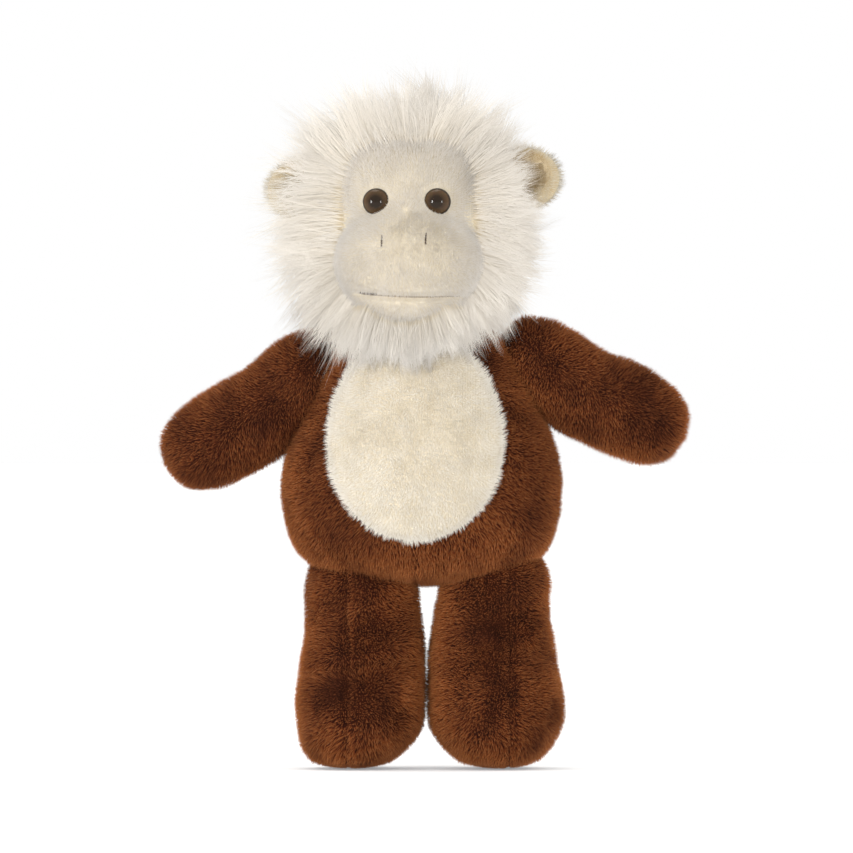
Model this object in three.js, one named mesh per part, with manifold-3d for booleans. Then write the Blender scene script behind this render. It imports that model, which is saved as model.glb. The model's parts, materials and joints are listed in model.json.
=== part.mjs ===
// A stuffed monkey: brown plush body and limbs, a cream belly, a cream face in a long white mane.
// Millimetres. +Z is up and the face looks along -Y, so the toy's own left side is at +X.
// The origin is on the ground, midway between the outermost points of the toy.

import * as THREE from 'three';
import { mergeVertices } from 'three/addons/utils/BufferGeometryUtils.js';
import Module from 'manifold-3d';

// ---------------------------------------------------------------- driving dimensions

// Cloth and seams
const coverThickness = 3; // backing cloth and its short pile
const seamGap = 0.3; // left between pieces that touch
const movingGap = 1.2; // left between pieces that move against each other

// Body: width is side to side, depth is front to back
const crotchHeight = 81;
const bodyHeight = 126;
const bodyWidth = 129;
const bodyDepth = 94;
const bellyWidth = 80;
const bellyBottom = 23; // above the bottom of the body
const bellyWidest = 67;
const bellyTop = 119;
const bellySet = -4; // sideways place of the belly panel's middle

// Legs
const legWidth = 56;
const legDepth = 50;
const footLength = 73;
const footReach = 11; // how far the foot's middle stands in front of the leg's
const toeHeight = 24; // height of the foot's widest level
const hipHeight = 88;
const hipForward = 22; // the hip crease lies in front of the body's middle
const legSwing = { back: -15, forward: 80 }; // degrees
const legs = [
  { side: 'right', sign: -1, set: -28 },
  { side: 'left', sign: 1, set: 32 },
];

// Arms
const armReach = 118; // from the body's middle to the tip of the hand
const armHeight = 41;
const armDepth = 34;
const armRootRadius = 20; // the rounded end of the arm in its shoulder seam
const shoulderInset = 6.5; // from the body's widest side in to the shoulder's middle
const shoulderSpread = bodyWidth / 2 - shoulderInset;
const shoulderThread = 1.4; // thickness of the gathered thread ring
const armRaise = { down: -15, up: 40 }; // degrees
const armSwing = { back: -30, forward: 50 };
const threadLatitude = 25; // degrees that the thread ring lies behind the shoulder's middle
const arms = [
  { side: 'right', sign: -1, shoulderHeight: 173.5, droop: 29 },
  { side: 'left', sign: 1, shoulderHeight: 179.5, droop: 26 },
];

// Neck
const neckRadius = 12;
const neckThread = 2.2;
const neckSeatDepth = 1.5; // how deep the gathered thread sits in the body
const nodRelief = 24; // degrees of free rise around the neck thread
const headNod = { back: -12, forward: 14 }; // degrees
const headSwivel = 30; // degrees to either side

// Head
const headTurn = -5; // degrees, towards the toy's right
const headSet = -4.5; // sideways place of the head's middle
const skullWidth = 84;
const skullDepth = 84;
const skullHeight = 85;
const maneLoft = 18; // mean length that the long pile stands off the skull
const beardHem = -10; // bottom edge of the mane in front, from the neck's pivot
const maneHem = 4; // the same edge at the sides and back
const beardDepth = 34; // the beard reaches back to this far in front of the neck
const faceWidth = 64;
const faceHeight = 82;
const faceDrop = 7; // the face's middle is this far under the skull's middle

// Muzzle
const muzzleWidth = 73;
const muzzleDepth = 50;
const muzzleHeight = 47;
const muzzleProjection = 18; // in front of the skull
const muzzleDrop = 22.5; // under the skull's middle
const mouthDrop = 13; // under the muzzle's middle
const mouthWidth = 46;
const smileRise = 1.5;

// Eyes and nostrils
const eyeDiameter = 12;
const eyeRim = 1; // edge of the eye under its dome
const eyeDome = 4;
const eyeSpacing = 27.8;
const eyeRise = 7; // above the skull's middle
const eyeSink = 1; // how deep the eye's back lies in the face
const shankDiameter = 4;
const shankLength = 11;
const washerDiameter = 13;
const washerThickness = 1.6;
const washerSet = 6.5; // from the eye's back to the front of its washer
const nostrilSpacing = 20;
const nostrilLength = 5;
const nostrilRise = 11.5; // above the muzzle's middle
const stitchRadius = 0.8;

// Ears
const earHeight = 29;
const earWidth = 34;
const earThickness = 8;
const earReach = 68; // from the head's middle to the ear's outer edge
const earRise = { right: 16.5, left: 20.5 }; // above the skull's middle

// ---------------------------------------------------------------- solids

const wasm = await Module();
wasm.setup();

const far = 400; // further than the toy reaches in any direction
const degrees = THREE.MathUtils.degToRad;
const X = new THREE.Vector3(1, 0, 0);
const Y = new THREE.Vector3(0, 1, 0);
const ORIGIN = new THREE.Vector3();

// A closed three.js geometry as a solid that can be joined and cut.
function solid(geometry) {
  const bare = geometry.clone();
  bare.deleteAttribute('normal');
  bare.deleteAttribute('uv');
  const merged = mergeVertices(bare, 1e-4);
  return new wasm.Manifold(
    new wasm.Mesh({
      numProp: 3,
      vertProperties: new Float32Array(merged.attributes.position.array),
      triVerts: new Uint32Array(merged.index.array),
    }),
  );
}

const union = (shapes) => shapes.reduce((all, one) => all.add(one));

// The solid as a named mesh with its own material.
function piece(name, shape, material) {
  const data = shape.getMesh();
  const geometry = new THREE.BufferGeometry();
  geometry.setAttribute('position', new THREE.BufferAttribute(data.vertProperties, 3));
  geometry.setIndex(new THREE.BufferAttribute(data.triVerts, 1));
  geometry.computeVertexNormals();
  const mesh = new THREE.Mesh(geometry, material.clone());
  mesh.name = name;
  return mesh;
}

// A stuffed form on an upright axis. Each level has a height, a half width, a half depth and a
// middle. The first and last levels are the rounded ends. An inset makes the form smaller all
// round, and a negative one makes it larger.
function stuffedForm(levels, inset, { around = 24, rings = 12 } = {}) {
  const last = levels.length - 1;
  const isEnd = (i) => i === 0 || i === last;
  const shrink = (half, i) => (isEnd(i) ? 0 : Math.max(half - inset, half * 0.3));
  const height = (z, i) => z + (i === 0 ? inset : 0) - (i === last ? inset : 0);
  const sizes = levels.map(
    ({ wide, deep, z }, i) => new THREE.Vector3(shrink(wide, i), shrink(deep, i), height(z, i)),
  );
  const middles = levels.map(({ x = 0, y = 0 }) => new THREE.Vector3(x, y, 0));
  // Both curves run up one side and down the other, which makes the ends round.
  const otherSide = (list) => list.slice(1, last).reverse();
  const mirrored = otherSide(sizes).map((v) => new THREE.Vector3(-v.x, -v.y, v.z));
  const smooth = (list) => new THREE.CatmullRomCurve3(list, true, 'catmullrom', 0.5);
  const sizeCurve = smooth([...sizes, ...mirrored]);
  const middleCurve = smooth([...middles, ...otherSide(middles)]);

  const points = [];
  for (let ring = 0; ring <= rings; ring += 1) {
    const size = sizeCurve.getPoint(ring / (2 * rings));
    const middle = middleCurve.getPoint(ring / (2 * rings));
    if (ring === 0 || ring === rings) {
      points.push(middle.x, middle.y, size.z);
      continue;
    }
    for (let step = 0; step < around; step += 1) {
      const angle = (step / around) * 2 * Math.PI;
      points.push(middle.x + size.x * Math.cos(angle), middle.y + size.y * Math.sin(angle), size.z);
    }
  }
  const at = (ring, step) => 1 + (ring - 1) * around + (step % around);
  const top = 1 + (rings - 1) * around;
  const faces = [];
  for (let step = 0; step < around; step += 1) {
    faces.push(0, at(1, step + 1), at(1, step));
    for (let ring = 1; ring < rings - 1; ring += 1) {
      faces.push(at(ring, step), at(ring, step + 1), at(ring + 1, step + 1));
      faces.push(at(ring, step), at(ring + 1, step + 1), at(ring + 1, step));
    }
    faces.push(at(rings - 1, step), at(rings - 1, step + 1), top);
  }
  const geometry = new THREE.BufferGeometry();
  geometry.setAttribute('position', new THREE.Float32BufferAttribute(points, 3));
  geometry.setIndex(faces);
  return geometry;
}

// An egg-shaped solid of the given full sizes around a middle point.
function egg(width, depth, height, middle, { around = 24, rows = 12 } = {}) {
  const geometry = new THREE.SphereGeometry(1, around, rows);
  geometry.rotateX(Math.PI / 2);
  geometry.scale(width / 2, depth / 2, height / 2);
  geometry.translate(middle.x, middle.y, middle.z);
  return solid(geometry);
}

const ball = (radius, middle, detail) => egg(2 * radius, 2 * radius, 2 * radius, middle, detail);

// All space between two values on one axis.
function slab(axis, from, to) {
  const low = new THREE.Vector3(-far, -far, -far);
  const high = new THREE.Vector3(far, far, far);
  low[axis] = from;
  high[axis] = to;
  const size = high.clone().sub(low);
  const geometry = new THREE.BoxGeometry(size.x, size.y, size.z);
  geometry.translate((low.x + high.x) / 2, (low.y + high.y) / 2, (low.z + high.z) / 2);
  return solid(geometry);
}

const above = (axis, from) => slab(axis, from, far);
const below = (axis, to) => slab(axis, -far, to);

// A shape cut along a seam into the piece on the low side and the piece on the high side.
function splitAt(axis, seam, shape) {
  return [
    shape.intersect(below(axis, seam - seamGap / 2)),
    shape.intersect(above(axis, seam + seamGap / 2)),
  ];
}

// A round upright solid around the Z axis, from its profile of [radius, height] points.
function turned(profile, { x, y, z }, around = 24) {
  const geometry = new THREE.LatheGeometry(
    profile.map(([radius, height]) => new THREE.Vector2(radius, height)),
    around,
  );
  geometry.rotateX(Math.PI / 2);
  geometry.translate(x, y, z);
  return solid(geometry);
}

// The same around a line that points straight out of the face, along -Y.
function turnedForward(profile, { x, y, z }, around = 18) {
  const geometry = new THREE.LatheGeometry(
    profile.map(([radius, height]) => new THREE.Vector2(radius, height)),
    around,
  );
  geometry.rotateX(Math.PI);
  geometry.translate(x, y, z);
  return solid(geometry);
}

// A closed oval outline in the XZ plane, with its widest level at its own height, as a solid that
// runs forward from the middle of the toy.
function ovalForward(halfWidth, bottom, widest, top, set) {
  const round = 0.5523; // makes a quarter of an ellipse from one Bezier curve
  const across = halfWidth * round;
  const up = (top - widest) * round;
  const down = (widest - bottom) * round;
  const shape = new THREE.Shape();
  shape.moveTo(set, bottom);
  shape.bezierCurveTo(set + across, bottom, set + halfWidth, widest - down, set + halfWidth, widest);
  shape.bezierCurveTo(set + halfWidth, widest + up, set + across, top, set, top);
  shape.bezierCurveTo(set - across, top, set - halfWidth, widest + up, set - halfWidth, widest);
  shape.bezierCurveTo(set - halfWidth, widest - down, set - across, bottom, set, bottom);
  const geometry = new THREE.ExtrudeGeometry(shape, {
    depth: far,
    bevelEnabled: false,
    curveSegments: 8,
  });
  geometry.rotateX(Math.PI / 2);
  return solid(geometry);
}

// A thread of round section along a smooth line through the points.
function threadAlong(points, radius, steps) {
  const section = new THREE.Shape();
  section.absarc(0, 0, radius, 0, 2 * Math.PI);
  return solid(
    new THREE.ExtrudeGeometry(section, {
      steps,
      curveSegments: 3,
      bevelEnabled: false,
      extrudePath: new THREE.CatmullRomCurve3(points),
    }),
  );
}

// The turn of one piece about a pivot, as a chain of turns that ends with the innermost.
function turnAbout(pivot, ...turns) {
  const pose = new THREE.Matrix4().makeTranslation(pivot);
  for (const [axis, angle] of turns) {
    pose.multiply(new THREE.Matrix4().makeRotationAxis(axis, degrees(angle)));
  }
  return pose.multiply(new THREE.Matrix4().makeTranslation(pivot.clone().negate()));
}

// ---------------------------------------------------------------- materials

const cloth = (color, roughness) => new THREE.MeshStandardMaterial({ color, roughness, metalness: 0 });
const brownPlush = cloth(0x6e3b1e, 0.9);
const bellyPlush = cloth(0xebe4d2, 0.9);
const facePlush = cloth(0xe6dcc8, 0.9);
const maneFur = cloth(0xf1ece2, 0.85);
const earPlush = cloth(0xe0d0ae, 0.9);
const fibre = cloth(0xf4f4f2, 1);
const stitching = cloth(0x6b5a50, 0.8);
const seamThread = cloth(0x4a2a17, 0.8);
const eyePlastic = cloth(0x2a1a14, 0.12);
const washerPlastic = cloth(0xe8e6e0, 0.5);

// ---------------------------------------------------------------- body

const neckHeight = crotchHeight + bodyHeight;
const filling = coverThickness + seamGap; // inset of a stuffing inside its cover

// Levels as shares of the body's own height, width and depth
const bodyLevels = [
  { up: 0, wide: 0, deep: 0 },
  { up: 0.035, wide: 0.56, deep: 0.5 },
  { up: 0.13, wide: 0.88, deep: 0.84 },
  { up: 0.32, wide: 1, deep: 1 },
  { up: 0.49, wide: 0.975, deep: 0.96 },
  { up: 0.64, wide: 0.89, deep: 0.88 },
  { up: 0.77, wide: 0.79, deep: 0.76 },
  { up: 0.89, wide: 0.68, deep: 0.63 },
  { up: 0.97, wide: 0.46, deep: 0.44 },
  { up: 1, wide: 0, deep: 0 },
].map(({ up, wide, deep }) => ({
  z: crotchHeight + up * bodyHeight,
  wide: (wide * bodyWidth) / 2,
  deep: (deep * bodyDepth) / 2,
}));
const bodyForm = (inset) => solid(stuffedForm(bodyLevels, inset));

// The body with room around it, as it is seen by a limb in each of its poses. Where the limb
// gives way to all of them, it can move without cutting into the body.
function bodySeenFrom(poses) {
  const roomy = stuffedForm(bodyLevels, -movingGap);
  return union(poses.map((pose) => solid(roomy.clone().applyMatrix4(pose.clone().invert()))));
}

// The socket that an arm's rounded root sits in, with room for the thread ring between them
const threadRadius = armRootRadius + movingGap + shoulderThread / 2;
const socketRadius = threadRadius + shoulderThread / 2 + movingGap;
const shoulderOf = ({ sign, shoulderHeight }) =>
  new THREE.Vector3(sign * shoulderSpread, 0, shoulderHeight);
const ballDetail = { around: 16, rows: 8 };
const sockets = union(arms.map((arm) => ball(socketRadius, shoulderOf(arm), ballDetail)));

const neckMiddle = { x: headSet, y: 0, z: neckHeight - neckSeatDepth };
const neckSeat = turned(
  [[0, 0], [neckRadius + movingGap, 0], [neckRadius + movingGap, far], [0, far]],
  neckMiddle,
);

function makeBody() {
  const bellyOval = (grow) =>
    ovalForward(
      bellyWidth / 2 + grow,
      crotchHeight + bellyBottom - grow,
      crotchHeight + bellyWidest,
      crotchHeight + bellyTop + grow,
      bellySet,
    );
  const openings = sockets.add(neckSeat);
  const cover = bodyForm(0).subtract(bodyForm(coverThickness)).subtract(openings);
  const [front, back] = splitAt('y', 0, cover);
  const [frontRight, frontLeft] = splitAt('x', bellySet, front.subtract(bellyOval(seamGap / 2)));
  const [backRight, backLeft] = splitAt('x', bellySet, back);
  return [
    piece('body_stuffing', bodyForm(filling).subtract(openings), fibre),
    piece('belly_panel', front.intersect(bellyOval(-seamGap / 2)), bellyPlush),
    piece('body_front_right', frontRight, brownPlush),
    piece('body_front_left', frontLeft, brownPlush),
    piece('body_back_right', backRight, brownPlush),
    piece('body_back_left', backLeft, brownPlush),
  ];
}

// ---------------------------------------------------------------- arms

function makeArm(arm) {
  const shoulder = shoulderOf(arm);
  const slope = degrees(arm.droop);
  const length = (armReach - shoulderSpread) / Math.cos(slope);
  const levels = [
    { along: -0.2, wide: 0, deep: 0 },
    { along: -0.1, wide: 0.6, deep: 0.6 },
    { along: 0.14, wide: 1, deep: 0.97 },
    { along: 0.5, wide: 1, deep: 1 },
    { along: 0.76, wide: 0.9, deep: 0.92 },
    { along: 0.94, wide: 0.55, deep: 0.58 },
    { along: 1, wide: 0, deep: 0 },
  ].map(({ along, wide, deep }) => ({
    z: along * length,
    wide: (wide * armHeight) / 2,
    deep: (deep * armDepth) / 2,
  }));
  // The form is built upright and then laid over along the arm.
  const place = new THREE.Matrix4()
    .makeTranslation(shoulder)
    .multiply(new THREE.Matrix4().makeRotationY(arm.sign * (Math.PI / 2 + slope)));
  const form = (inset) =>
    solid(stuffedForm(levels, inset, { around: 16, rings: 8 }).applyMatrix4(place)).add(
      ball(armRootRadius - inset, shoulder, ballDetail),
    );

  // Raising turns about Y, and swinging about the line across the arm from edge to edge.
  const raiseAxis = Y.clone().multiplyScalar(-arm.sign);
  const swingAxis = new THREE.Vector3(-Math.sin(slope), 0, -arm.sign * Math.cos(slope));
  const poses = [];
  for (const raise of [armRaise.down, armRaise.up]) {
    for (const swing of [armSwing.back, armSwing.forward / 3, armSwing.forward]) {
      poses.push(turnAbout(shoulder, [raiseAxis, raise], [swingAxis, swing]));
    }
  }
  const room = bodySeenFrom(poses).subtract(ball(socketRadius - movingGap, shoulder, ballDetail));
  const outer = form(0).subtract(room);
  const inner = form(coverThickness);
  const [front, back] = splitAt('y', 0, outer.subtract(inner));

  // The gathered thread runs round the root on its inner side, clear of the swinging arm.
  const latitude = degrees(threadLatitude);
  const ringRadius = threadRadius * Math.cos(latitude);
  const ring = new THREE.TorusGeometry(ringRadius, shoulderThread / 2, 5, 20)
    .translate(0, 0, -threadRadius * Math.sin(latitude))
    .applyMatrix4(place);
  return [
    piece(`${arm.side}_arm_stuffing`, form(filling).subtract(room), fibre),
    piece(`${arm.side}_arm_front`, front, brownPlush),
    piece(`${arm.side}_arm_back`, back, brownPlush),
    piece(`${arm.side}_shoulder_thread`, solid(ring), seamThread),
  ];
}

// ---------------------------------------------------------------- legs

function makeLeg(leg) {
  const half = legWidth / 2;
  const legLevels = [
    { z: -toeHeight * 0.3, wide: 0, deep: 0, y: -footReach },
    { z: 0, wide: half * 0.72, deep: footLength * 0.36, y: -footReach },
    { z: toeHeight * 0.4, wide: half * 0.97, deep: footLength * 0.47, y: -footReach },
    { z: toeHeight, wide: half * 1.04, deep: footLength * 0.5, y: -footReach },
    { z: toeHeight * 2, wide: half, deep: footLength * 0.42, y: -footReach * 0.6 },
    { z: hipHeight - 24, wide: half * 0.96, deep: legDepth * 0.52, y: -2 },
    { z: hipHeight - 4, wide: half * 0.94, deep: legDepth * 0.49 },
    { z: hipHeight + 12, wide: half * 0.7, deep: legDepth * 0.35 },
    { z: hipHeight + 17, wide: 0, deep: 0 },
  ].map((level) => ({ ...level, x: leg.set }));
  const form = (inset) =>
    solid(stuffedForm(legLevels, inset, { around: 20, rings: 10 })).intersect(above('z', inset));

  // Swinging forward turns the foot towards -Y.
  const hip = new THREE.Vector3(leg.set, -hipForward, hipHeight);
  const swings = [legSwing.back, 0, legSwing.forward / 3, legSwing.forward * 2 / 3, legSwing.forward];
  const room = bodySeenFrom(swings.map((swing) => turnAbout(hip, [X, -swing])));
  const shell = form(0).subtract(form(coverThickness)).subtract(room);
  const [lowSide, highSide] = splitAt('x', leg.set, shell);
  const [inner, outer] = leg.sign > 0 ? [lowSide, highSide] : [highSide, lowSide];
  return [
    piece(`${leg.side}_leg_stuffing`, form(filling).subtract(room), fibre),
    piece(`${leg.side}_leg_inner`, inner, brownPlush),
    piece(`${leg.side}_leg_outer`, outer, brownPlush),
  ];
}

// ---------------------------------------------------------------- head

// The head is built around the neck's pivot, which is on top of the gathered neck thread.
const threadBottom = neckMiddle.z + seamGap;
const neckPivot = new THREE.Vector3(headSet, 0, threadBottom + neckThread);

function makeHead() {
  const skullMiddle = new THREE.Vector3(0, 0, movingGap + skullHeight / 2);
  const muzzleMiddle = new THREE.Vector3(
    0,
    muzzleDepth / 2 - muzzleProjection - skullDepth / 2,
    skullMiddle.z - muzzleDrop,
  );
  const skull = (inset) =>
    egg(skullWidth - 2 * inset, skullDepth - 2 * inset, skullHeight - 2 * inset, skullMiddle);
  const muzzle = (inset) =>
    egg(muzzleWidth - 2 * inset, muzzleDepth - 2 * inset, muzzleHeight - 2 * inset, muzzleMiddle);
  const earMiddle = (sign) =>
    new THREE.Vector3(
      sign * (earReach - earWidth / 2),
      0,
      skullMiddle.z + (sign > 0 ? earRise.left : earRise.right),
    );
  const ear = (sign, grow) =>
    egg(earWidth + 2 * grow, earThickness + 2 * grow, earHeight + 2 * grow, earMiddle(sign), {
      around: 14,
      rows: 8,
    });

  // The underside leaves room for the neck thread and for the body in every pose of the head.
  const reach = neckRadius + 2 * movingGap;
  const rise = reach * Math.tan(degrees(nodRelief)) + seamGap;
  const threadRoom = turned([[0, -far], [reach, -far], [reach, rise], [0, seamGap]], ORIGIN);
  const poses = [];
  for (const swivel of [-headSwivel, 0, headSwivel]) {
    for (const nod of [headNod.back, headNod.forward]) {
      poses.push(
        new THREE.Matrix4()
          .makeTranslation(neckPivot)
          .multiply(new THREE.Matrix4().makeRotationZ(degrees(headTurn + swivel)))
          .multiply(new THREE.Matrix4().makeRotationX(degrees(nod))),
      );
    }
  }
  const room = threadRoom.add(bodySeenFrom(poses));

  const faceOval = (grow) => {
    const middle = skullMiddle.z - faceDrop;
    const half = faceHeight / 2 + grow;
    return ovalForward(faceWidth / 2 + grow, middle - half, middle, middle + half, 0);
  };

  // Eyes: a dome with a shank, which a washer grips inside the stuffing
  const half = eyeSpacing / 2;
  const skullShare = (half / (skullWidth / 2)) ** 2 + (eyeRise / (skullHeight / 2)) ** 2;
  const eyeBack = -(skullDepth / 2) * Math.sqrt(1 - skullShare) + eyeSink;
  const eyePlace = (sign) => new THREE.Vector3(sign * half, eyeBack, skullMiddle.z + eyeRise);
  const eyeRadius = eyeDiameter / 2;
  const dome = new THREE.EllipseCurve(0, eyeRim, eyeRadius, eyeDome, 0, Math.PI / 2)
    .getPoints(4)
    .map(({ x, y }) => [x, y]);
  dome[dome.length - 1][0] = 0;
  const shankRadius = shankDiameter / 2;
  const eye = (sign) =>
    turnedForward(
      [[0, -shankLength], [shankRadius, -shankLength], [shankRadius, 0], [eyeRadius, 0], ...dome],
      eyePlace(sign),
    );
  const disc = (radius, from, to) => [[0, from], [radius, from], [radius, to], [0, to]];
  const washer = (sign) =>
    turnedForward(disc(washerDiameter / 2, -washerSet - washerThickness, -washerSet), eyePlace(sign)).subtract(
      turnedForward(disc(shankRadius + seamGap, -far, far), eyePlace(sign)),
    );
  const eyeRoom = (sign) =>
    turnedForward(disc(shankRadius + seamGap, -shankLength - seamGap, seamGap), eyePlace(sign)).add(
      turnedForward(disc(eyeRadius + seamGap, -seamGap, far), eyePlace(sign)),
    );
  const washerRoom = (sign) =>
    turnedForward(
      disc(washerDiameter / 2 + seamGap, -washerSet - washerThickness - seamGap, far),
      eyePlace(sign),
    );
  const sides = [
    { side: 'right', sign: -1 },
    { side: 'left', sign: 1 },
  ];
  const eyeRooms = union(sides.map(({ sign }) => eyeRoom(sign)));
  const washerRooms = union(sides.map(({ sign }) => washerRoom(sign)));
  const ears = (grow) => union(sides.map(({ sign }) => ear(sign, grow)));

  const cover = skull(0).subtract(skull(coverThickness));
  const face = cover.intersect(faceOval(-seamGap / 2)).subtract(eyeRooms).subtract(room);

  // Mane: the long pile all round the face, cut away over the body and around ears and muzzle
  const beardCut = below('z', beardHem).add(
    below('z', maneHem).intersect(above('y', -beardDepth)),
  );
  const mane = skull(-maneLoft)
    .subtract(skull(coverThickness))
    .subtract(faceOval(seamGap / 2))
    .subtract(beardCut)
    .subtract(room)
    .subtract(ears(seamGap))
    .subtract(muzzle(-seamGap));
  const [maneRight, maneLeft] = splitAt('x', 0, mane);

  // Muzzle: two top panels and a chin panel around their own stuffing
  const skullRoom = skull(-seamGap);
  const muzzleCover = muzzle(0)
    .subtract(muzzle(coverThickness))
    .subtract(skullRoom)
    .subtract(room);
  const mouthHeight = muzzleMiddle.z - mouthDrop;
  const [chin, muzzleTop] = splitAt('z', mouthHeight, muzzleCover);
  const [muzzleRight, muzzleLeft] = splitAt('x', 0, muzzleTop);

  // A point that stands a little in front of the muzzle
  const onMuzzle = (x, z) => {
    const lift = stitchRadius + seamGap;
    const side = x / (muzzleWidth / 2 + lift);
    const up = (z - muzzleMiddle.z) / (muzzleHeight / 2 + lift);
    const forward = (muzzleDepth / 2 + lift) * Math.sqrt(1 - side ** 2 - up ** 2);
    return new THREE.Vector3(x, muzzleMiddle.y - forward, z);
  };
  const nostrilHeight = muzzleMiddle.z + nostrilRise;
  const nostril = (sign) =>
    threadAlong(
      [-0.5, 0, 0.5].map((share) =>
        onMuzzle((sign * nostrilSpacing) / 2, nostrilHeight + share * nostrilLength),
      ),
      stitchRadius,
      2,
    );
  const mouth = threadAlong(
    [-1, -0.75, -0.5, -0.25, 0, 0.25, 0.5, 0.75, 1].map((share) =>
      onMuzzle((share * mouthWidth) / 2, mouthHeight + smileRise * share ** 2),
    ),
    stitchRadius,
    12,
  );

  const stuffing = skull(filling).subtract(washerRooms).subtract(eyeRooms).subtract(room);
  const head = new THREE.Group();
  head.add(
    piece('head_stuffing', stuffing, fibre),
    piece('face_panel', face, facePlush),
    piece('mane_right', maneRight, maneFur),
    piece('mane_left', maneLeft, maneFur),
    piece('muzzle_stuffing', muzzle(filling).subtract(skullRoom).subtract(room), fibre),
    piece('muzzle_right', muzzleRight, facePlush),
    piece('muzzle_left', muzzleLeft, facePlush),
    piece('chin_panel', chin, facePlush),
    piece('mouth_stitch', mouth, stitching),
  );
  for (const { side, sign } of sides) {
    const [front, back] = splitAt('y', 0, ear(sign, 0).subtract(skullRoom));
    head.add(
      piece(`${side}_eye`, eye(sign), eyePlastic),
      piece(`${side}_eye_washer`, washer(sign), washerPlastic),
      piece(`${side}_nostril_stitch`, nostril(sign), stitching),
      piece(`${side}_ear_front`, front, earPlush),
      piece(`${side}_ear_back`, back, maneFur),
    );
  }
  head.position.copy(neckPivot);
  head.rotation.z = degrees(headTurn);
  return head;
}

// ---------------------------------------------------------------- the whole toy

const monkey = new THREE.Group();
monkey.add(...makeBody(), ...arms.flatMap(makeArm), ...legs.flatMap(makeLeg), makeHead());
monkey.add(
  piece(
    'neck_thread',
    turned([[0, 0], [neckRadius, 0], [neckRadius, neckThread], [0, neckThread]], {
      ...neckMiddle,
      z: threadBottom,
    }),
    seamThread,
  ),
);

export default monkey;
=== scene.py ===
# %% [markdown]
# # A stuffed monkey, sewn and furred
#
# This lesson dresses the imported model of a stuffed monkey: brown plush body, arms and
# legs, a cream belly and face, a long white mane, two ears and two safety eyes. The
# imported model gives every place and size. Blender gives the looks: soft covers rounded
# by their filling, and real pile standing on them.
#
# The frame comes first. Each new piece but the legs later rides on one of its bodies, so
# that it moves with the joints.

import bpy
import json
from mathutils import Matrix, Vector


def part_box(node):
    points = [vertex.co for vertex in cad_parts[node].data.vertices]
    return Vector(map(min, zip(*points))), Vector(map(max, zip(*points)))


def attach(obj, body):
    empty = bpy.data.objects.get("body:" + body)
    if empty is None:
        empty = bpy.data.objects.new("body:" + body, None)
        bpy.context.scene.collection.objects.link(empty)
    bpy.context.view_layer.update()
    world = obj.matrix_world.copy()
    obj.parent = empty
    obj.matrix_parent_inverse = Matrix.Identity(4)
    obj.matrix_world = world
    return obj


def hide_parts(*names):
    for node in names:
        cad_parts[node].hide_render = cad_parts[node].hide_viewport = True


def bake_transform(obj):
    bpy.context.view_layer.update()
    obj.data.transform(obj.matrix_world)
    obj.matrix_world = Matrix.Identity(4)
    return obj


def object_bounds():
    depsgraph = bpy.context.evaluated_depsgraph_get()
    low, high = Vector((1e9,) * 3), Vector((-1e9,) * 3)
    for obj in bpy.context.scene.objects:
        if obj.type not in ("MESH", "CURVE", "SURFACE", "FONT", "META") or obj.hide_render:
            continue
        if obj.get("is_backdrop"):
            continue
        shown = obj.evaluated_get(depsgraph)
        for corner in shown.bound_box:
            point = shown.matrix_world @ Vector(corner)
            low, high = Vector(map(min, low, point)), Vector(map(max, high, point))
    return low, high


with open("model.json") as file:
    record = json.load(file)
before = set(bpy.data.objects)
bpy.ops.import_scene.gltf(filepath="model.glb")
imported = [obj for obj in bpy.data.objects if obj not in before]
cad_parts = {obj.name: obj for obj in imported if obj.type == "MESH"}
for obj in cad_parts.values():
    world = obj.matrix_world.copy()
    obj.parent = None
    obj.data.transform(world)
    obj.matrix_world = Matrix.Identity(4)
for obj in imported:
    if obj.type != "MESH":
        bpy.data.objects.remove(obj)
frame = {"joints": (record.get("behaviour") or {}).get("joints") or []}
cad_low, cad_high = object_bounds()
print("height of the toy:", round(cad_high.z * 1000, 1), "mm")

# %% Other helpers from Blender and numpy
import json
import math

import bpy
import numpy as np
from mathutils import Matrix, Vector
from mathutils.bvhtree import BVHTree

MM = 0.001
scene = bpy.context.scene


def deselect_all():
    """Operators act on all that is selected, so each step starts with nothing selected."""
    for thing in bpy.context.selected_objects:
        thing.select_set(False)


def pick(thing):
    """Makes one object the only selected one, and the active one."""
    deselect_all()
    thing.select_set(True)
    bpy.context.view_layer.objects.active = thing


def add(operator, name, **settings):
    """Adds something with an operator, alone in the selection, and names it."""
    deselect_all()
    operator(**settings)
    bpy.context.object.name = name
    return bpy.context.object


def edit_all():
    """Goes into edit mode with every face selected."""
    bpy.ops.object.mode_set(mode="EDIT")
    bpy.ops.mesh.select_mode(type="FACE")
    bpy.ops.mesh.select_all(action="SELECT")


def leave_edit():
    """Turns every face outwards and goes back to object mode."""
    bpy.ops.mesh.select_all(action="SELECT")
    bpy.ops.mesh.normals_make_consistent(inside=False)
    bpy.ops.object.mode_set(mode="OBJECT")


def unit(rows):
    """Each row of an array as a direction of length 1."""
    return rows / np.maximum(np.linalg.norm(rows, axis=1, keepdims=True), 1e-9)


def middle_of(node):
    low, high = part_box(node)
    return (low + high) / 2


def fill_in(node, **values):
    """Puts values in a node's sockets. An underscore stands for a space in their names."""
    for socket, value in values.items():
        node.inputs[socket.replace("_", " ")].default_value = value


def add_node(tree, kind, **values):
    node = tree.nodes.new("ShaderNode" + kind)
    fill_in(node, **values)
    return node


def wire(giver, output, taker, socket):
    """Links one node's output to another node's socket."""
    giver.id_data.links.new(giver.outputs[output], taker.inputs[socket])


def new_finish(name, roughness, level=0.3):
    material = bpy.data.materials.new(name)
    material.use_nodes = True
    shader = material.node_tree.nodes["Principled BSDF"]
    fill_in(shader, Roughness=roughness, Specular_IOR_Level=level)
    return material, material.node_tree, shader


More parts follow.
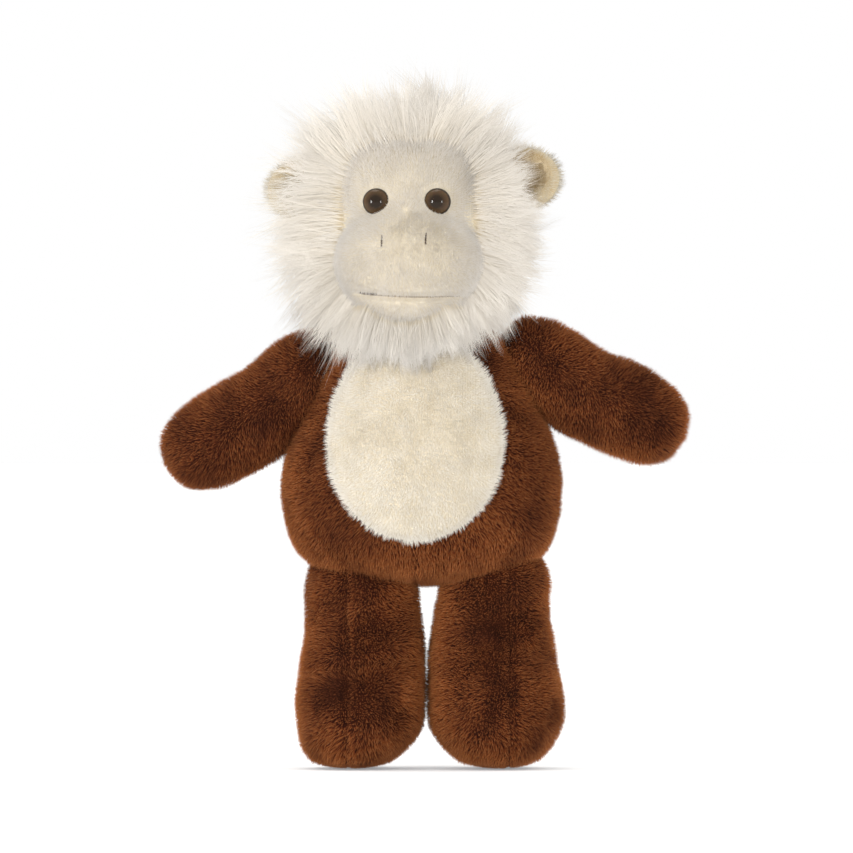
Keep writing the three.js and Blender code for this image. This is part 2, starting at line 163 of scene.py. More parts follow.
# %% [markdown]
# ## Camera, floor and light
#
# The toy is looked at from straight in front, from its own middle height, through a
# long lens. The floor is a large pale disc, which has no corners to show from any side.
# The air around is white and soft. Two tall soft boxes in front, one stronger than the
# other, give form and leave two neat points of light on each eye. A third, above, lights
# the crown.

# %% Camera, floor and light
VIEW_WIDTH = 389.8 * MM  # how much the frame takes in at the toy
CAMERA_DISTANCE = 5.0
CAMERA_HEIGHT = 156 * MM
CAMERA_SIDE = 1.1 * MM

SENSOR_WIDTH = 36  # mm

camera = add(
    bpy.ops.object.camera_add,
    "camera",
    location=(CAMERA_SIDE, -CAMERA_DISTANCE, CAMERA_HEIGHT),
    rotation=(math.radians(90), 0, 0),
)
camera.data.sensor_width = SENSOR_WIDTH
camera.data.lens = SENSOR_WIDTH * CAMERA_DISTANCE / VIEW_WIDTH
camera.data.clip_end = 50
scene.camera = camera

world = bpy.data.worlds.new("white_air")
scene.world = world
world.use_nodes = True
air = world.node_tree
air.nodes.clear()
seen_air = add_node(air, "Background", Color=(1, 1, 1, 1), Strength=1.0)
lighting_air = add_node(air, "Background", Color=(1.0, 0.985, 0.96, 1), Strength=0.94)
ray, either = add_node(air, "LightPath"), add_node(air, "MixShader")
wire(ray, "Is Camera Ray", either, 0)
wire(lighting_air, 0, either, 1)
wire(seen_air, 0, either, 2)
wire(either, 0, add_node(air, "OutputWorld"), "Surface")


def soft_box(name, place, aim, wide, tall, watts, tint):
    """A lamp behind a wide and tall white sheet, which looks at a point."""
    lamp = add(bpy.ops.object.light_add, name, type="AREA", location=place)
    lamp.data.shape = "RECTANGLE"
    lamp.data.size, lamp.data.size_y = wide, tall
    lamp.data.energy, lamp.data.color = watts, tint
    lamp.rotation_mode = "QUATERNION"
    lamp.rotation_quaternion = (Vector(aim) - Vector(place)).to_track_quat("-Z", "Y")


AIM = (0, 0, 0.17)  # the middle of the toy
soft_box("key_light", (-1.70, -2.30, 0.24), AIM, 0.34, 0.80, 36.0, (1.0, 0.98, 0.95))
soft_box("fill_light", (1.20, -2.65, 0.28), AIM, 0.26, 0.54, 14.0, (1.0, 0.98, 0.96))
soft_box("top_light", (-0.3, 0.3, 2.2), (0, 0, 0.1), 1.2, 1.2, 12.0, (1.0, 0.99, 0.97))
scene.view_settings.view_transform = "Standard"

floor = add(
    bpy.ops.mesh.primitive_circle_add, "floor", vertices=96, radius=40, fill_type="NGON"
)
paper, _, paper_skin = new_finish("white_paper_floor", 0.95, 0.1)
fill_in(
    paper_skin,
    Base_Color=(0.96, 0.955, 0.95, 1),
    Emission_Color=(0.9, 0.95, 1, 1),
    Emission_Strength=0.3,
)
floor.data.materials.append(paper)
floor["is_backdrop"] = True
print("lens:", round(camera.data.lens), "mm, lamps:", len(bpy.data.lights))

# %% [markdown]
# ## The finishes
#
# Pile isn't one colour, and no two hairs are quite alike. Each hair is painted darker at
# its root, a painted shade for the little light that reaches there, and paler at its tip,
# partly its own colour and partly a painted highlight. Every hair carries a small map:
# across it runs the tone of that hair, and up it the way from root to tip. One colour ramp
# is for the darkest hairs and one for the fairest, both read up the hair, and the tone
# mixes them. The cloth backing, which shows where hairs part, is a knit.


# %% Colours and a pile finish
def linear(red, green, blue):
    """Screen colours, 0 to 255, as the linear numbers that a shader takes."""
    parts = (c / 255 for c in (red, green, blue))
    return tuple(c / 12.92 if c <= 0.04045 else ((c + 0.055) / 1.055) ** 2.4 for c in parts) + (1,)


def ramp(tree, stops):
    """A colour ramp with these (place, screen colour) stops."""
    node = add_node(tree, "ValToRGB")
    line = node.color_ramp
    while len(line.elements) < len(stops):
        line.elements.new(0.5)
    for element, (place, colour) in zip(line.elements, stops):
        element.position = place
        element.color = linear(*colour)
    return node


def pile_finish(name, middle, dark, fair, sheen=0.25, tint=(1, 1, 1, 1), painted_glow=0.0):
    """Hair between a dark and a fair hair's colours, each given at the root, at a middle
    place and at the tip. The darker roots are painted shade, and the paler tips partly a
    painted highlight. glow is painted light: an emission that stands in for the light that
    white hairs pass on to each other."""
    material, tree, shader = new_finish(name, 0.75, 0.15)
    place = add_node(tree, "UVMap")
    place.uv_map = "OFBake"
    parts, mix = add_node(tree, "SeparateXYZ"), add_node(tree, "Mix")
    mix.data_type = "RGBA"
    wire(place, 0, parts, 0)
    wire(parts, "X", mix, 0)
    for socket, colours in ((6, dark), (7, fair)):
        shades = ramp(tree, list(zip((0.0, middle, 1.0), colours)))
        wire(parts, "Y", shades, 0)
        wire(shades, 0, mix, socket)
    wire(mix, 2, shader, "Base Color")
    fill_in(shader, Sheen_Weight=sheen, Sheen_Roughness=0.5, Sheen_Tint=tint)
    # Emission paints light in: a painted glow that lifts the shade between white hairs.
    if painted_glow:
        wire(mix, 2, shader, "Emission Color")
        fill_in(shader, Emission_Strength=painted_glow)
    return material


# Each ramp runs from root to tip: its dark root colour is painted shade, and its pale tip colour is
# partly a painted highlight.
brown_pile = pile_finish(
    "brown_plush_pile",
    0.5,
    [(32, 11, 3), (66, 26, 8), (92, 42, 15)],
    [(66, 29, 9), (142, 72, 28), (220, 148, 92)],
    sheen=0.3,
    tint=linear(226, 150, 96),
)
belly_pile = pile_finish(
    "cream_belly_pile",
    0.5,
    [(214, 203, 184), (230, 223, 210), (237, 231, 220)],
    [(225, 216, 200), (242, 237, 227), (247, 244, 236)],
    painted_glow=0.12,
)
face_pile = pile_finish(
    "cream_face_pile",
    0.4,
    [(192, 176, 150), (202, 194, 183), (208, 201, 192)],
    [(202, 190, 166), (214, 208, 199), (221, 216, 209)],
    painted_glow=0.16,
)
# The mane's warm tan roots are painted shade: the warm shadow where the mane meets the face.
mane_pile = pile_finish(
    "white_mane_fur",
    0.22,
    [(192, 174, 138), (207, 198, 183), (211, 205, 196)],
    [(200, 184, 152), (214, 207, 196), (221, 216, 209)],
    painted_glow=0.38,
)
# The ear pile's tan hairs are painted shade, for the left ear's dish.
ear_pile = pile_finish(
    "tan_ear_pile",
    0.5,
    [(186, 154, 104), (206, 178, 132), (216, 192, 150)],
    [(208, 196, 170), (226, 216, 196), (234, 226, 210)],
)


# %% The knitted backing
def mottled_finish(name, roughness, level, scale, detail, stops):
    """A finish whose shades drift like clouds between the stops' colours."""
    material, tree, shader = new_finish(name, roughness, level)
    where = add_node(tree, "TexCoord")
    cloud = add_node(tree, "TexNoise", Scale=scale, Detail=detail)
    shades = ramp(tree, stops)
    wire(where, "Object", cloud, "Vector")
    wire(cloud, 0, shades, 0)
    wire(shades, 0, shader, "Base Color")
    return material, tree, shader, where


def backing_finish(name, deep, light):
    """Knitted cloth: fine rows in relief, with slow changes of shade."""
    stops = [(0.3, deep), (0.7, light)]
    material, tree, shader, where = mottled_finish(name, 0.95, 0.1, 160, 4, stops)
    rows = add_node(tree, "TexWave", Scale=420, Distortion=1.2)
    bump = add_node(tree, "Bump", Strength=0.25, Distance=0.3 * MM)
    wire(where, "Object", rows, "Vector")
    wire(rows, "Fac", bump, "Height")
    wire(bump, 0, shader, "Normal")
    return material


# The brown backing is the knit's brown, painted as dark as the darkest roots: painted shade where
# the hairs part.
brown_backing_painted_shade = backing_finish("brown_backing_painted_shade", (34, 14, 7), (58, 26, 12))
cream_backing = backing_finish("cream_backing", (212, 200, 176), (222, 212, 192))
mane_backing = backing_finish("mane_backing", (222, 206, 168), (236, 224, 196))
ear_backing = backing_finish("ear_backing", (204, 184, 146), (222, 206, 174))

# %% [markdown]
# ## Covers, ring by ring
#
# A stuffed limb is a tube of cloth that closes to a point at both ends. It grows like
# pottery: a small disc is added, its face is extruded upwards and scaled, ring by ring.
# The rings follow a smooth line through a few measured levels, so that a bulge or a
# taper is one number in a list.


# %% A form that grows ring by ring
def smooth_levels(levels, rings):
    """Rings spaced evenly along a smooth line through the levels, which are rows of
    height, half width, half depth, sideways place and depthwise place."""
    rows = np.array(levels, float)
    rows = np.vstack([2 * rows[0] - rows[1], rows, 2 * rows[-1] - rows[-2]])
    found = []
    spans = len(levels) - 1
    for step in range(rings + 1):
        share = step / rings * spans
        span = min(int(share), spans - 1)
        t = share - span
        a, b, c, d = rows[span : span + 4]
        curve = 2 * b + (c - a) * t + (2 * a - 5 * b + 4 * c - d) * t**2
        found.append(0.5 * (curve + (3 * b - a - 3 * c + d) * t**3))
    return found


def grown_form(name, levels, rings=18, around=32):
    """A closed form in millimetres, grown upwards from a small disc."""
    rows = smooth_levels(levels, rings)
    z, _, _, x, y = rows[0]
    form = add(
        bpy.ops.mesh.primitive_circle_add,
        name,
        vertices=around,
        radius=1.0 * MM,
        fill_type="NGON",
        location=(x * MM, y * MM, z * MM),
    )
    bpy.ops.object.transform_apply()
    edit_all()
    before = (1.0, 1.0, x, y, z)
    for number, (z, wide, deep, x, y) in enumerate(rows):
        now = (max(wide, 1.0), max(deep, 1.0), x, y, z)
        if number:
            step = tuple((now[i] - before[i]) * MM for i in (2, 3, 4))
            bpy.ops.mesh.extrude_region_move(TRANSFORM_OT_translate={"value": step})
        bpy.ops.transform.resize(
            value=(now[0] / before[0], now[1] / before[1], 1),
            center_override=(x * MM, y * MM, z * MM),
        )
        before = now
    leave_edit()
    return form


def points_of(thing):
    found = np.empty(len(thing.data.vertices) * 3)
    thing.data.vertices.foreach_get("co", found)
    return found.reshape(-1, 3)


def set_points(thing, points):
    thing.data.vertices.foreach_set("co", points.astype(np.float32).ravel())
    thing.data.update()


def place_form(form, matrix):
    """Lays a finished form in its place, in its mesh."""
    form.data.transform(matrix)
    form.data.update()


def apply_all(thing):
    pick(thing)
    for modifier in list(thing.modifiers):
        bpy.ops.object.modifier_apply(modifier=modifier.name)


# %% [markdown]
# ## Filling the covers
#
# Cloth over a filling is drum-tight: it bulges between seams and dips along them. So
# each form is remeshed to even squares, its seam lines are pinned, and Blender's cloth
# is blown up a little from inside. Drawing the bulges by hand would be slower and
# would miss the way they soften towards a seam. The growth is capped, then applied.


# %% Even squares, pressure and a cap
def even_squares(thing, size):
    """Remeshes a thing to even squares of this size in mm."""
    squares = thing.modifiers.new("even_squares", "REMESH")
    squares.mode = "VOXEL"
    squares.voxel_size = size * MM
    squares.use_smooth_shade = True
    apply_all(thing)


def round_off(thing, passes=((3, ""),)):
    """Smooths a thing, each pass so many times in a group of points, and makes it finer."""
    for times, group in passes:
        smooth = thing.modifiers.new("soften", "SMOOTH")
        smooth.factor = 0.5
        smooth.iterations = times
        smooth.vertex_group = group
    finer = thing.modifiers.new("finer", "SUBSURF")
    finer.levels = finer.render_levels = 1
    apply_all(thing)


def stuff(form, seam, voxel=3.5, most=3.0, pressure=4.0):
    """Rounds a form as its filling would. seam is a test that marks the pinned points,
    and most caps the growth in mm."""
    even_squares(form, voxel)
    start = points_of(form)
    pins = form.vertex_groups.new(name="seams")
    held = np.nonzero(seam(start))[0]
    pins.add([int(i) for i in held], 1.0, "REPLACE")
    cloth = form.modifiers.new("filling", "CLOTH")
    cloth.settings.quality = 4
    cloth.settings.use_pressure = True
    cloth.settings.uniform_pressure_force = pressure
    cloth.settings.effector_weights.gravity = 0
    cloth.settings.vertex_group_mass = "seams"
    cloth.collision_settings.use_collision = False
    for moment in range(1, 21):
        scene.frame_set(moment)
    bpy.ops.object.modifier_apply(modifier=cloth.name)
    scene.frame_set(1)
    move = points_of(form) - start
    far = np.linalg.norm(move, axis=1, keepdims=True)
    set_points(form, start + move * np.minimum(1, most * MM / np.maximum(far, 1e-9)))
    form.vertex_groups.clear()
    print(form.name, "grew by up to", round(float(far.max()) * 1000, 1), "mm")
    round_off(form)


# %% [markdown]
# ## The body
#
# The body is a pear: narrow under the neck, widest a third of the way up. Its pile
# stands a little outside the cover, so the cover starts that much smaller than the
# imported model. The belly is a cream egg let into the front. Cutting it out with an
# egg-shaped block keeps its outline true on the curved body.

# %% The body cover and the belly
PILE_STANDS = 2.6  # how far the short pile stands off its cover, mm
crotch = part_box("body_front_left")[0].z / MM
neck_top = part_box("body_back_left")[1].z / MM
low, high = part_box("belly_panel")
BELLY_MIDDLE = (low.x + high.x) / 2 / MM
BELLY_HALF = (high.x - low.x) / 2 / MM
BELLY_BOTTOM, BELLY_WIDEST, BELLY_TOP = low.z / MM, 148, high.z / MM
body_half_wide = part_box("body_back_left")[1].x / MM
body_half_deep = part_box("body_back_left")[1].y / MM
BODY_SHARES = [
    (0.0, 0.0, 0.0),
    (0.035, 0.62, 0.54),
    (0.13, 0.915, 0.87),
    (0.32, 1.016, 1.0),
    (0.49, 0.992, 0.96),
    (0.64, 0.89, 0.88),
    (0.77, 0.79, 0.76),
    (0.89, 0.68, 0.63),
    (0.97, 0.46, 0.44),
    (1.0, 0.0, 0.0),
]
body_inset = PILE_STANDS + 0.8
BODY_SHIFT = -1.2  # how far the photo's body stands to the toy's right, mm
body_levels = [
    (
        crotch + body_inset + up * (neck_top + 1 - crotch - 2 * body_inset),
        wide * (body_half_wide + 0.7 - body_inset),
        deep * (body_half_deep - body_inset),
        BODY_SHIFT,
        0,
    )
    for up, wide, deep in BODY_SHARES
]


def body_seams(p):
    """The seams down both sides, and the one down the middle of the back and crotch."""
    side = np.abs(p[:, 1]) < 2.2 * MM
    middle = (np.abs(p[:, 0] - BELLY_MIDDLE * MM) < 2.0 * MM) & (
        (p[:, 1] > 0) | (p[:, 2] < BELLY_BOTTOM * MM)
    )
    return side | middle | belly_edge(p)


def belly_share(p):
    """Under 1 inside the egg on the front, 1 on its outline, over 1 outside it."""
    across = (p[:, 0] / MM - BELLY_MIDDLE) / BELLY_HALF
    z = p[:, 2] / MM
    reach = np.where(z < BELLY_WIDEST, BELLY_WIDEST - BELLY_BOTTOM, BELLY_TOP - BELLY_WIDEST)
    share = np.sqrt(across**2 + ((z - BELLY_WIDEST) / reach) ** 2)
    return np.where(p[:, 1] < 0, share, 9)


def belly_edge(p):
    return np.abs(belly_share(p) - 1) < 0.05


body_cover = grown_form("body_cover", body_levels, rings=24, around=40)
stuff(body_cover, body_seams, voxel=4.0, most=2.5)

egg_block = add(
    bpy.ops.mesh.primitive_circle_add,
    "egg_block",
    vertices=64,
    radius=BELLY_HALF * MM,
    fill_type="NGON",
)
outline = points_of(egg_block)
upper = outline[:, 1] > 0
outline[:, 1] *= np.where(upper, BELLY_TOP - BELLY_WIDEST, BELLY_WIDEST - BELLY_BOTTOM)
outline[:, 1] /= BELLY_HALF
EGG_FRONT, EGG_DEPTH = -80 * MM, 66 * MM  # where the block starts, and its depth
outline = np.column_stack(
    [
        outline[:, 0] + BELLY_MIDDLE * MM,
        np.full(len(outline), EGG_FRONT),
        outline[:, 1] + BELLY_WIDEST * MM,
    ]
)
set_points(egg_block, outline)
edit_all()
bpy.ops.mesh.extrude_region_move(TRANSFORM_OT_translate={"value": (0, EGG_DEPTH, 0)})
leave_edit()


def copy_of(thing, name):
    twin = thing.copy()
    twin.data = thing.data.copy()
    twin.name = name
    scene.collection.objects.link(twin)
    return twin


def cut(thing, block, way):
    """Cuts a closed piece with another closed piece."""
    pick(thing)
    knife = thing.modifiers.new("cut", "BOOLEAN")
    knife.operation = way
    knife.solver = "EXACT"
    knife.object = block
    bpy.ops.object.modifier_apply(modifier=knife.name)
    return thing


whole_body = copy_of(body_cover, "whole_body")
belly_cover = cut(copy_of(body_cover, "belly_cover"), egg_block, "INTERSECT")
cut(body_cover, egg_block, "DIFFERENCE")
bpy.data.objects.remove(egg_block)
print("body cover:", len(body_cover.data.polygons), "faces; belly:", len(belly_cover.data.polygons))

# %% [markdown]
# ## Arms and legs
#
# An arm is a soft sausage with a rounded hand and a full shoulder, built upright and
# then laid over at its own slope. Its shoulder end lies inside the body, as the seam
# allowance of the real one does. A leg is a post whose foot is longer than its ankle,
# flat underneath where it stands.

# %% The arms
ARM_SHARES = [  # along the arm, half height and half depth in mm, and how far it sits up
    (-0.42, 0.0, 0.0, 3),
    (-0.35, 14.0, 11.5, 3),
    (-0.14, 19.6, 16.2, 2.4),
    (0.05, 20.6, 17.2, 1.2),
    (0.24, 20.2, 17.0, -0.5),
    (0.50, 21.0, 16.8, 0.6),
    (0.76, 18.9, 15.6, 0.4),
    (0.93, 13.0, 11.0, 0.2),
    (1.0, 0.0, 0.0, 0.2),
]
HAND_DROPS = {"right": 3.1, "left": 0.2}  # how far an arm hangs under its packed line
HAND_OUT = 1.2  # how much further the photo's hands reach, mm
joint_of = {joint["name"]: joint for joint in frame["joints"]}
SIDES = {"right": -1, "left": 1}
arm_covers, shoulders, arm_ways = {}, {}, {}
for side, sign in SIDES.items():
    shoulder = Vector(joint_of[f"{side}_arm_raise"]["pos_m"])
    slope = math.asin(-joint_of[f"{side}_arm_swing"]["axis"][0])  # below level
    way = Vector((sign * math.cos(slope), 0, -math.sin(slope)))
    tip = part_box(f"{side}_arm_front")
    reach = (max(abs(tip[0].x), abs(tip[1].x)) - abs(shoulder.x)) / math.cos(slope) / MM
    length = reach + HAND_OUT - PILE_STANDS
    levels = []
    for along, high, deep, up in ARM_SHARES:
        drop = HAND_DROPS[side] * min(max(along / 0.4, 0), 1)
        levels.append((along * length, high, deep, -sign * (up - drop), 0))
    arm = grown_form(f"{side}_arm_cover", levels, rings=20, around=28)
    lay_over = Matrix.Rotation(sign * (math.pi / 2 + slope), 4, "Y")
    stuff(arm, lambda p: np.abs(p[:, 1]) < 1.9 * MM, voxel=3.5, most=1.8)
    place_form(arm, Matrix.Translation(shoulder) @ lay_over)
    arm_covers[side], shoulders[side], arm_ways[side] = arm, shoulder, way
    print(side, "arm:", round(reach, 1), "mm from shoulder to hand")

# %% The legs
LEG_LEVELS = [  # height, half depth, depthwise place; middle and half width of each leg
    (1.0, 8.0, -11, -33.5, 4.0, 33.6, 4.0),
    (1.9, 20.0, -11, -33.3, 11.0, 33.8, 10.0),
    (5.0, 29.0, -11, -33.0, 18.0, 34.0, 17.2),
    (11.0, 33.0, -11, -31.6, 23.4, 33.2, 23.8),
    (19.0, 34.6, -11, -29.0, 27.0, 32.6, 28.8),
    (30.0, 32.8, -10, -28.9, 28.4, 32.6, 30.0),
    (46.0, 28.6, -7, -28.2, 27.5, 31.4, 28.4),
    (62.0, 24.2, -2.4, -27.2, 26.0, 30.6, 26.4),
    (76.0, 22.6, -0.6, -28.2, 24.8, 31.6, 24.4),
    (88.0, 21.0, 0, -28.6, 24.2, 32.6, 23.8),
    (98.0, 14.5, 0, -28.4, 18.0, 32.4, 18.0),
    (102.0, 0.0, 0, -28.4, 0.0, 32.4, 0.0),
]
SEAM_OUT = 6.5  # a leg's front seam is this far outside its hip, mm
CREASES = {"right": (2.6, 47.0, 0.16), "left": (1.2, 55.0, 0.06)}  # depth, height, slope
leg_covers, hips = {}, {}
for side, sign in SIDES.items():
    hip = Vector(joint_of[f"{side}_leg_swing"]["pos_m"])
    seam_x = hip.x + sign * SEAM_OUT * MM
    own = 3 if sign < 0 else 5  # where the row holds this leg's own two numbers
    levels = [(row[0], row[own + 1], row[1], row[own], row[2]) for row in LEG_LEVELS]
    leg = grown_form(f"{side}_leg_cover", levels, rings=24, around=32)
    stuff(
        leg,
        lambda p, x=seam_x: (np.abs(p[:, 0] - x) < 2.0 * MM) | (p[:, 2] < 2.2 * MM),
        voxel=3.8,
        most=1.6,
    )
    p = points_of(leg)
    depth, height, slope = CREASES[side]
    off = p[:, 2] / MM - height + slope * sign * (p[:, 0] - hip.x) / MM
    fold = depth * np.exp(-((off / 3.6) ** 2)) - 0.45 * depth * np.exp(-(((off - 8) / 6) ** 2))
    seam = 1.1 * np.exp(-(((p[:, 0] - seam_x) / (1.8 * MM)) ** 2)) * (p[:, 2] < 0.09)
    p[:, 1] += (fold + seam) * np.clip(-p[:, 1] / (8 * MM), 0, 1) * MM
    set_points(leg, p)
    leg_covers[side], hips[side] = leg, hip
print("hips at", [round(v / MM, 1) for v in hips["left"]])

# %% [markdown]
# ## The head
#
# The head has a round skull, which flares at the jaw to carry the beard. The face is
# a smooth panel let into the mane, and the muzzle is a soft mound sewn on its lower
# half, with a chin under the mouth seam. Each is grown upwards like the limbs, then
# the whole head is turned a little to the toy's right, as it sits on its neck.

# %% The skull, the face and the muzzle
HEAD_TURN = math.radians(-5)
neck = Vector(joint_of["neck_turn"]["pos_m"])
TURN_HEAD = Matrix.Translation((neck.x, neck.y, 0)) @ Matrix.Rotation(HEAD_TURN, 4, "Z")
FACE_OUT = Vector((math.sin(HEAD_TURN), -math.cos(HEAD_TURN), 0))  # where the face looks
FACE_SIDE = Vector((math.cos(HEAD_TURN), math.sin(HEAD_TURN), 0))  # the toy's left

SKULL_LEVELS = [
    (208.0, 14.0, 14.0, 0, 2),
    (209.5, 27.0, 27.0, 0, 1),
    (216.0, 34.5, 34.5, 0, 0),
    (228.0, 39.0, 39.0, 0, 0),
    (242.0, 41.0, 40.8, 0, 0),
    (256.0, 40.8, 40.6, 0, 0),
    (272.0, 35.8, 35.8, 0, 0),
    (284.0, 25.5, 25.5, 0, 0),
    (291.0, 11.5, 11.5, 0, 0),
    (293.0, 0.0, 0.0, 0, 0),
]
MUZZLE_LEVELS = [  # height, half width, how far the front stands out
    (203.4, 7.0, 43.0),
    (205.2, 16.0, 49.5),
    (209.4, 22.4, 54.0),
    (214.5, 26.6, 56.2),
    (220.0, 30.2, 57.6),
    (226.0, 32.4, 58.4),
    (232.5, 33.0, 58.3),
    (239.5, 31.2, 56.6),
    (246.0, 27.0, 52.0),
    (251.0, 21.5, 47.2),
    (256.0, 14.5, 43.2),
    (260.0, 6.0, 40.0),
]
MUZZLE_ROOT = 28  # the muzzle's middle is this far in front of the neck
BRIDGE_BOTTOM = 238  # the height where the bridge of the nose starts
MOUTH_HEIGHT = middle_of("mouth_stitch").z / MM - 0.8


def smile(across):
    """The mouth seam's height, in mm, at a place across the head, also in mm."""
    return MOUTH_HEIGHT - 1.6 + 0.0022 * (across - 8) ** 2


head_cover = grown_form("head_cover", SKULL_LEVELS, rings=22, around=36)
stuff(head_cover, lambda p: np.abs(p[:, 0]) < 2 * MM, voxel=4.0, most=1.5)
place_form(head_cover, TURN_HEAD)

muzzle_levels = [(z, w, f - MUZZLE_ROOT, 0, -MUZZLE_ROOT) for z, w, f in MUZZLE_LEVELS]
muzzle_cover = grown_form("muzzle_cover", muzzle_levels, rings=22, around=36)
stuff(
    muzzle_cover,
    lambda p: (np.abs(p[:, 2] / MM - smile(p[:, 0] / MM)) < 1.3) | (np.abs(p[:, 0]) < 1.2 * MM),
    voxel=2.4,
    most=1.2,
)

FACE_LEVELS = [  # height, half width, how far the front stands out
    (212.0, 10.0, 30.0),
    (222.0, 24.0, 38.5),
    (238.0, 30.5, 41.2),
    (252.0, 31.6, 41.6),
    (266.0, 31.0, 39.8),
    (276.0, 28.0, 34.6),
    (284.0, 21.0, 27.6),
    (287.0, 4.0, 20.0),
]
FACE_ROOT = 18  # the face's middle is this far in front of the neck
face_levels = [(z, w, f - FACE_ROOT, 0, -FACE_ROOT) for z, w, f in FACE_LEVELS]
face_cover = grown_form("face_cover", face_levels, rings=18, around=36)
stuff(face_cover, lambda p: p[:, 1] > -20 * MM, voxel=3.0, most=1.2)

# The muzzle is sewn on the face: they become one skin, which runs smoothly over the
# bridge of the nose and keeps its fold at the cheeks.
pick(face_cover)
muzzle_cover.select_set(True)
bpy.ops.object.join()
face_cover.data.materials.clear()
even_squares(face_cover, 2.0)
p = points_of(face_cover)
bridge = face_cover.vertex_groups.new(name="bridge")
weights = np.clip((p[:, 2] / MM - BRIDGE_BOTTOM) / 10, 0, 1) * (p[:, 1] < -20 * MM)
for index in np.nonzero(weights > 0)[0]:
    bridge.add([int(index)], float(weights[index]), "REPLACE")
round_off(face_cover, ((14, "bridge"), (3, "")))
face_cover.vertex_groups.clear()

MOUTH_DIP = 1.9  # how deep the mouth seam draws the cover in, mm
p = points_of(face_cover)
near_mouth = np.exp(-(((p[:, 2] / MM - smile(p[:, 0] / MM)) / 2.0) ** 2)) * (p[:, 1] < -30 * MM)
near_mouth *= np.clip((29 - np.abs(p[:, 0] / MM)) / 8, 0, 1)
near_middle = 0.4 * np.exp(-((p[:, 0] / (1.3 * MM)) ** 2))
near_middle *= (p[:, 2] > MOUTH_HEIGHT * MM) & (p[:, 2] < BRIDGE_BOTTOM * MM)
inward = unit(np.column_stack([-p[:, 0], -MUZZLE_ROOT * MM - p[:, 1], 0 * p[:, 2]]))
p += inward * ((near_mouth * MOUTH_DIP + near_middle) * MM)[:, None]
set_points(face_cover, p)
place_form(face_cover, TURN_HEAD)
print("face and muzzle:", len(face_cover.data.polygons), "faces")

# %% [markdown]
# ## The ears
#
# Each ear is a flat round pad with a shallow dish in its front. A ball is flattened,
# and the middle of its front is pushed back.

# %% The ears
EAR_HALF = (17.0, 3.2, 14.0)  # half width, depth and height, mm
EAR_DROPS = {"right": 4.0, "left": 3.0}  # how far under its packed place each ear sits
EAR_TURN = math.radians(-14)
ear_covers = {}
for side, sign in SIDES.items():
    low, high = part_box(f"{side}_ear_front")
    back_low, back_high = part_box(f"{side}_ear_back")
    low = Vector(map(min, low, back_low))
    high = Vector(map(max, high, back_high))
    sphere = bpy.ops.mesh.primitive_uv_sphere_add
    ear = add(sphere, f"{side}_ear_cover", segments=32, ring_count=16, radius=1)
    p = points_of(ear)
    half = Vector(EAR_HALF) * MM
    p *= np.array(half)
    round_share = np.sqrt((p[:, 0] / half.x) ** 2 + (p[:, 2] / half.z) ** 2)
    dish = np.clip(1 - (round_share / 0.72) ** 2, 0, 1) * (p[:, 1] < 0)
    p[:, 1] += dish * 3.6 * MM
    set_points(ear, p)
    middle = Vector((high.x - 17.4 * MM if sign > 0 else low.x + 17.4 * MM, 0, 0))
    middle.y = (low.y + high.y) / 2
    middle.z = (low.z + high.z) / 2 - EAR_DROPS[side] * MM
    turn = Matrix.Rotation(HEAD_TURN + sign * EAR_TURN, 4, "Z")
    place_form(ear, Matrix.Translation(middle) @ turn)
    pick(ear)
    bpy.ops.object.shade_smooth()
    ear_covers[side] = ear

# %% [markdown]
# ## Sowing hairs
#
# Pile is thousands of hairs, each leaning the way the cloth was brushed. Blender's own
# hair doesn't leave the file as a mesh, so each hair here is one: a three-sided spike
# closed at its root. Operators would be far too slow for so many spikes, so numpy writes
# their points in one go. Short plush takes straight spikes, and the mane longer ones
# that bend. Neighbouring tips are drawn together into the small tufts of real plush. The
# hairs take part of their shading from the cloth under them, so that the pile reads as
# one soft surface.


# %% Random places on a cover
def ripple(points, size, seed):
    """A smooth random number from -1 to 1 at each point, with bumps of about size mm."""
    chance = np.random.default_rng(seed)
    ways = unit(chance.normal(size=(10, 3)))
    ways *= chance.uniform(0.6, 1.6, (10, 1)) * math.pi / (size * MM)
    return np.sin(points @ ways.T + chance.uniform(0, 2 * math.pi, 10)).sum(axis=1) / 4.5


def sow(cover, per_square_mm, seed, wanted=None):
    """Random points on a cover, and the cover's outward direction at each."""
    mesh = cover.data
    mesh.calc_loop_triangles()
    corners = np.empty(len(mesh.loop_triangles) * 3, np.int32)
    mesh.loop_triangles.foreach_get("vertices", corners)
    corners = corners.reshape(-1, 3)
    places = points_of(cover)
    outward = np.empty(len(mesh.vertices) * 3, np.float32)
    mesh.vertices.foreach_get("normal", outward)
    outward = outward.reshape(-1, 3).astype(float)
    a, b, c = (places[corners[:, i]] for i in range(3))
    area = np.linalg.norm(np.cross(b - a, c - a), axis=1) / 2 / MM**2
    density = per_square_mm * np.ones(len(a))
    if wanted is not None:
        density = density * wanted((a + b + c) / 3)
    chance = np.random.default_rng(seed)
    count = np.floor(area * density + chance.random(len(a))).astype(int)
    owner = np.repeat(np.arange(len(a)), count)
    r = chance.random((len(owner), 2))
    flip = r.sum(axis=1) > 1
    r[flip] = 1 - r[flip]
    share = np.column_stack([1 - r.sum(axis=1), r])
    roots = np.einsum("ij,ijk->ik", share, places[corners[owner]])
    normals = unit(np.einsum("ij,ijk->ik", share, outward[corners[owner]]))
    return roots, normals


